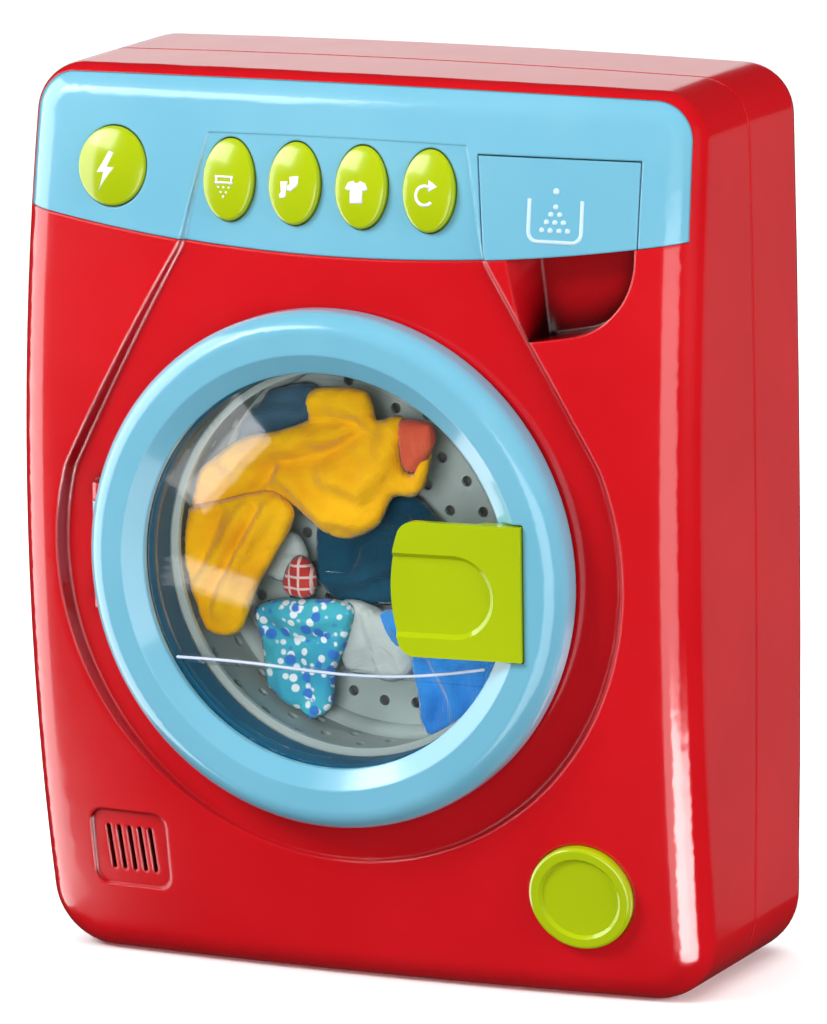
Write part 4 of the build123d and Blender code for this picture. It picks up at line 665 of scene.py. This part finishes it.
crumple(
    trousers,
    [
        (-49.4, 138), (-48.6, 150), (-43.2, 155.6), (-33.7, 159.0), (-26, 159.4), (-20, 152), (-28, 144),
        (-39.9, 140),
    ],
    38.6,
    [(2.0, 3.6, 2.4, [(-46, 147), (-38, 150.5), (-28, 151.5)]), (-1.8, 1.6, 2.4, [(-42, 154), (-30, 156)])],
    0.8, 15.2, 1,
)
laundered(
    "doll_trousers", trousers, [navy_drill, slate_drill], "navy_trousers"
)

print_cotton = cotton("spotted_cotton", (0.07, 0.46, 0.56, 1), (0.04, 0.30, 0.50, 1), 0.0006, 0.2)
print_tree = print_cotton.node_tree
print_ground = print_tree.nodes["Color Ramp"].outputs["Color"]
for reach, spread, shade in ((330, 0.34, (0.82, 0.90, 0.92, 1)), (210, 0.30, (0.05, 0.20, 0.62, 1))):
    spots = print_tree.nodes.new("ShaderNodeTexVoronoi")
    spots.inputs["Scale"].default_value = reach
    spots.inputs["Randomness"].default_value = 0.75
    edge = print_tree.nodes.new("ShaderNodeValToRGB")
    edge.color_ramp.elements[0].position = spread
    edge.color_ramp.elements[0].color = (1, 1, 1, 1)
    edge.color_ramp.elements[1].position = spread + 0.08
    edge.color_ramp.elements[1].color = (0, 0, 0, 1)
    dye = print_tree.nodes.new("ShaderNodeMix")
    dye.data_type = "RGBA"
    dye.inputs["B"].default_value = shade
    print_tree.links.new(print_tree.nodes["Texture Coordinate"].outputs["Object"], spots.inputs["Vector"])
    print_tree.links.new(spots.outputs["Distance"], edge.inputs["Fac"])
    print_tree.links.new(edge.outputs["Color"], dye.inputs["Factor"])
    print_tree.links.new(print_ground, dye.inputs["A"])
    print_ground = dye.outputs["Result"]
print_tree.links.new(print_ground, print_tree.nodes["Principled BSDF"].inputs["Base Color"])
pale_cotton = cotton("pale_cotton", (0.50, 0.56, 0.53, 1), (0.36, 0.42, 0.40, 1), 0.0006, 0.2)
romper = bmesh.new()
crumple(
    romper,
    [
        (-41.6, 97), (-33.4, 100.5), (-26.4, 100.8), (-18, 101.4), (-11.6, 99.5), (-13.6, 90.1),
        (-17.3, 81.2), (-18.7, 71.3), (-24, 67.4), (-30.5, 66.6), (-36.4, 70.6), (-38.8, 79.6), (-39.6, 88),
    ],
    30.6,
    [
        (-1.8, 1.6, 2.4, [(-38, 92), (-30, 88.5), (-20, 90)]),
        (1.6, 2.6, 2.0, [(-35, 96.5), (-26, 95), (-16, 96.5)]),
        (-1.4, 2.0, 1.4, [(-28, 82), (-26, 74), (-28, 68)]),
        (1.6, 2.4, 2.2, [(-34, 84), (-32, 74)]),
    ],
    0.8, 21.9,
)
crumple(
    romper,
    [(-16, 100.5), (-6.2, 100), (1.2, 95.2), (6.8, 84.7), (0, 79.5), (-9, 80.5), (-15.2, 82), (-17, 91)],
    32.4,
    [
        (1.8, 2.2, 1.4, [(-7.5, 97.5), (-4, 90), (-2.5, 82)]),
        (1.6, 1.6, 2.2, [(-2.6, 96.5), (1.2, 89), (3.6, 83)]),
    ],
    0.6, 25.3, 1,
)
crumple(
    romper,
    [(-39, 119.4), (-41.6, 110), (-36, 105), (-28.4, 106.5), (-26.6, 112), (-30.2, 118.6)],
    33.6,
    [(-1.6, 1.2, 2.0, [(-38.5, 111.2), (-29.5, 111.4)])],
    0.5, 28.4, 1,
)
laundered(
    "spotted_romper", romper, [print_cotton, pale_cotton], "print_cloth",
)

cobalt_terry = cotton("cobalt_terry", (0.045, 0.30, 0.74, 1), (0.025, 0.18, 0.56, 1), 0.0009, 0.5)
towel = bmesh.new()
crumple(
    towel,
    [
        (-3.6, 98.5), (4, 100), (14, 99), (24, 96), (31, 90), (33, 80), (27, 70), (16, 65.4), (9.3, 66.4),
        (7.4, 75.6), (6, 82), (5, 88), (-1.4, 91),
    ],
    31.2,
    [
        (2.0, 3.0, 1.8, [(2, 96), (10, 90), (18, 82), (20, 72)]),
        (-1.8, 1.8, 2.6, [(12, 86), (14.5, 76), (12.5, 68.5)]),
        (1.8, 2.6, 2.2, [(20, 94), (26, 86), (27, 77)]),
    ],
    0.8, 33.1,
)
laundered("doll_towel", towel, [cobalt_terry], "blue_towel")

red_check = cotton("red_check_knit", (0.60, 0.055, 0.045, 1), (0.46, 0.03, 0.03, 1), 0.0007, 0.3)
check_tree = red_check.node_tree
check_ground = check_tree.nodes["Color Ramp"].outputs["Color"]
for direction in ("X", "Z"):
    stripe = check_tree.nodes.new("ShaderNodeTexWave")
    stripe.bands_direction = direction
    stripe.inputs["Scale"].default_value = 0.314 / 0.0032
    stripe.inputs["Distortion"].default_value = 0.4
    edge = check_tree.nodes.new("ShaderNodeValToRGB")
    edge.color_ramp.elements[0].position = 0.86
    edge.color_ramp.elements[1].position = 0.93
    dye = check_tree.nodes.new("ShaderNodeMix")
    dye.data_type = "RGBA"
    dye.inputs["B"].default_value = (0.80, 0.58, 0.55, 1)
    check_tree.links.new(check_tree.nodes["Texture Coordinate"].outputs["Object"], stripe.inputs["Vector"])
    check_tree.links.new(stripe.outputs["Fac"], edge.inputs["Fac"])
    check_tree.links.new(edge.outputs["Color"], dye.inputs["Factor"])
    check_tree.links.new(check_ground, dye.inputs["A"])
    check_ground = dye.outputs["Result"]
check_tree.links.new(check_ground, check_tree.nodes["Principled BSDF"].inputs["Base Color"])
sock = bmesh.new()
crumple(
    sock,
    [(-32.4, 108), (-33.0, 103), (-28.6, 101), (-24.0, 102.4), (-23.4, 108.6), (-26.6, 112.6), (-29.6, 112)],
    31.4,
    [(1.0, 2.0, 1.4, [(-28.5, 111), (-28, 103.5)])],
    0.5, 41.7,
)
laundered("checked_sock", sock, [red_check], "red_sock")


# Studio: a plain pale floor that runs far back under soft light. Large boxes that stay out of the
# gloss light the toy from all round, and the long bright edges on the polished plastic come from
# cards that show in the gloss alone. The floor has a box of its own, as a studio's backdrop has.
camera_yaw = math.radians(24.935)
camera_rise = math.radians(11.272)
camera_roll = math.radians(-0.888)
camera_distance = 2.28194
aim = Vector((0, crown_y + 0.045, 0.125))
across = Vector((math.cos(camera_yaw), math.sin(camera_yaw), 0))
towards = Vector((
    math.sin(camera_yaw) * math.cos(camera_rise),
    -math.cos(camera_yaw) * math.cos(camera_rise),
    math.sin(camera_rise),
))
upwards = towards.cross(across)
aim += across * 0.001016 - upwards * 0.000232
sight = bpy.data.cameras.new("camera")
sight.sensor_fit = "HORIZONTAL"
sight.sensor_width = 36
sight.lens = 360.89
camera = bpy.data.objects.new("camera", sight)
bpy.context.collection.objects.link(camera)
level = math.cos(camera_roll)
lean = math.sin(camera_roll)
camera_right = across * level + upwards * lean
camera_up = upwards * level - across * lean
turn = Matrix((camera_right, camera_up, towards)).transposed()
camera.matrix_world = Matrix.Translation(aim + towards * camera_distance) @ turn.to_4x4()
bpy.context.scene.camera = camera

paper = bpy.data.materials.new("studio_paper")
paper.use_nodes = True
paper_tree = paper.node_tree
paper_shader = paper_tree.nodes["Principled BSDF"]
paper_shader.inputs["Roughness"].default_value = 0.7
paper_shader.inputs["Specular IOR Level"].default_value = 0.1
paper_place = paper_tree.nodes.new("ShaderNodeTexCoord")
paper_noise = paper_tree.nodes.new("ShaderNodeTexNoise")
paper_noise.inputs["Scale"].default_value = 4
paper_ramp = paper_tree.nodes.new("ShaderNodeValToRGB")
paper_ramp.color_ramp.elements[0].color = (0.92, 0.92, 0.92, 1)
paper_ramp.color_ramp.elements[1].color = (0.95, 0.95, 0.95, 1)
paper_tree.links.new(paper_place.outputs["Object"], paper_noise.inputs["Vector"])
paper_tree.links.new(paper_noise.outputs["Fac"], paper_ramp.inputs["Fac"])
paper_tree.links.new(paper_ramp.outputs["Color"], paper_shader.inputs["Base Color"])
floor_mesh = bpy.data.meshes.new("studio_floor")
form = bmesh.new()
bmesh.ops.create_grid(form, x_segments=1, y_segments=1, size=6)
form.to_mesh(floor_mesh)
form.free()
floor_mesh.materials.append(paper)
floor = bpy.data.objects.new("studio_floor", floor_mesh)
floor.visible_glossy = False
floor.visible_diffuse = False
bpy.context.collection.objects.link(floor)


def soft_box(name, bearing, rise, distance, width, height, power, lean=0):
    """A soft box seen from the toy at a bearing from straight ahead and a height over the horizon."""
    light = bpy.data.lights.new(name, "AREA")
    light.shape = "RECTANGLE"
    light.size = width
    light.size_y = height
    light.energy = power
    lamp = bpy.data.objects.new(name, light)
    bpy.context.collection.objects.link(lamp)
    turn, lift = math.radians(bearing), math.radians(rise)
    ray = Vector((math.sin(turn) * math.cos(lift), -math.cos(turn) * math.cos(lift), math.sin(lift)))
    lamp.location = Vector((0, 0, 0.125)) + ray * distance
    facing = ray.to_track_quat("Z", "Y").to_matrix() @ Matrix.Rotation(math.radians(lean), 3, "Z")
    lamp.rotation_euler = facing.to_euler()
    lamp.visible_camera = False
    return lamp


def only_on(lamp, name, pieces):
    """Lets a lamp reach some pieces alone."""
    reached = bpy.data.collections.new(name)
    for piece in pieces:
        reached.objects.link(piece)
    lamp.light_linking.receiver_collection = reached


for filling in (
    soft_box("high_left_fill", -42, 38, 2.0, 0.7, 0.7, 34),
    soft_box("front_fill", 20, 5, 2.2, 1.2, 1.2, 14),
    soft_box("right_fill", 82, 12, 2.0, 1.4, 1.4, 30),
):
    filling.visible_glossy = False
for card in (
    soft_box("left_card", -70, 2, 1.7, 1.80, 2.6, 66),
    soft_box("front_card", 21, -14, 2.6, 2.4, 2.3, 50),
    soft_box("top_edge_card", -40, 28, 2.0, 0.8, 0.5, 8),
    soft_box("top_face_card", -155, 10, 2.0, 1.0, 0.6, 1.7),
    soft_box("side_card", 152, -8, 2.0, 1.5, 0.7, 0.6),
):
    card.visible_diffuse = False
floor_box = soft_box("floor_box", 0, 90, 3.0, 5.0, 5.0, 160)
floor_box.visible_glossy = False
only_on(floor_box, "floor_only", [floor])
porthole = soft_box("porthole_box", 12, 9, 2.2, 0.7, 0.7, 37)
porthole.visible_glossy = False
only_on(porthole, "behind_the_window", [
    nodes["drum"], nodes["door_back_ring"], ledge_root,
    *(bpy.data.objects[name] for name in (
        "doll_shirt", "doll_trousers", "spotted_romper", "doll_towel", "checked_sock",
    )),
])
for pane in (
    soft_box("pane_high", -31.7, -5.4, 1.55, 0.185, 0.062, 0.15, 45),
    soft_box("pane_low", -32.9, -12.6, 1.55, 0.15, 0.045, 0.05, -13),
):
    pane.visible_diffuse = False
    only_on(pane, pane.name + "_on_window", [nodes["door_window"]])
for crease, face in (
    (soft_box("shell_crease_card", 46, -34, 2.0, 1.7, 0.9, 64), nodes["front_shell"]),
    (soft_box("panel_crease_card", 40, -10, 2.0, 1.0, 0.6, 26), nodes["control_panel"]),
):
    crease.visible_diffuse = False
    only_on(crease, crease.name + "_on_face", [face])
world = bpy.data.worlds.new("studio")
world.use_nodes = True
sky = world.node_tree
sky.nodes["Background"].inputs["Strength"].default_value = 0.35
sky.nodes["Background"].inputs["Color"].default_value = (1, 1, 1, 1)
dark_room = sky.nodes.new("ShaderNodeBackground")
dark_room.inputs["Strength"].default_value = 0.03
ray_kind = sky.nodes.new("ShaderNodeLightPath")
room = sky.nodes.new("ShaderNodeMixShader")
sky.links.new(ray_kind.outputs["Is Glossy Ray"], room.inputs["Fac"])
sky.links.new(sky.nodes["Background"].outputs["Background"], room.inputs[1])
sky.links.new(dark_room.outputs["Background"], room.inputs[2])
sky.links.new(room.outputs["Shader"], sky.nodes["World Output"].inputs["Surface"])
bpy.context.scene.world = world
bpy.context.scene.view_settings.view_transform = "Standard"
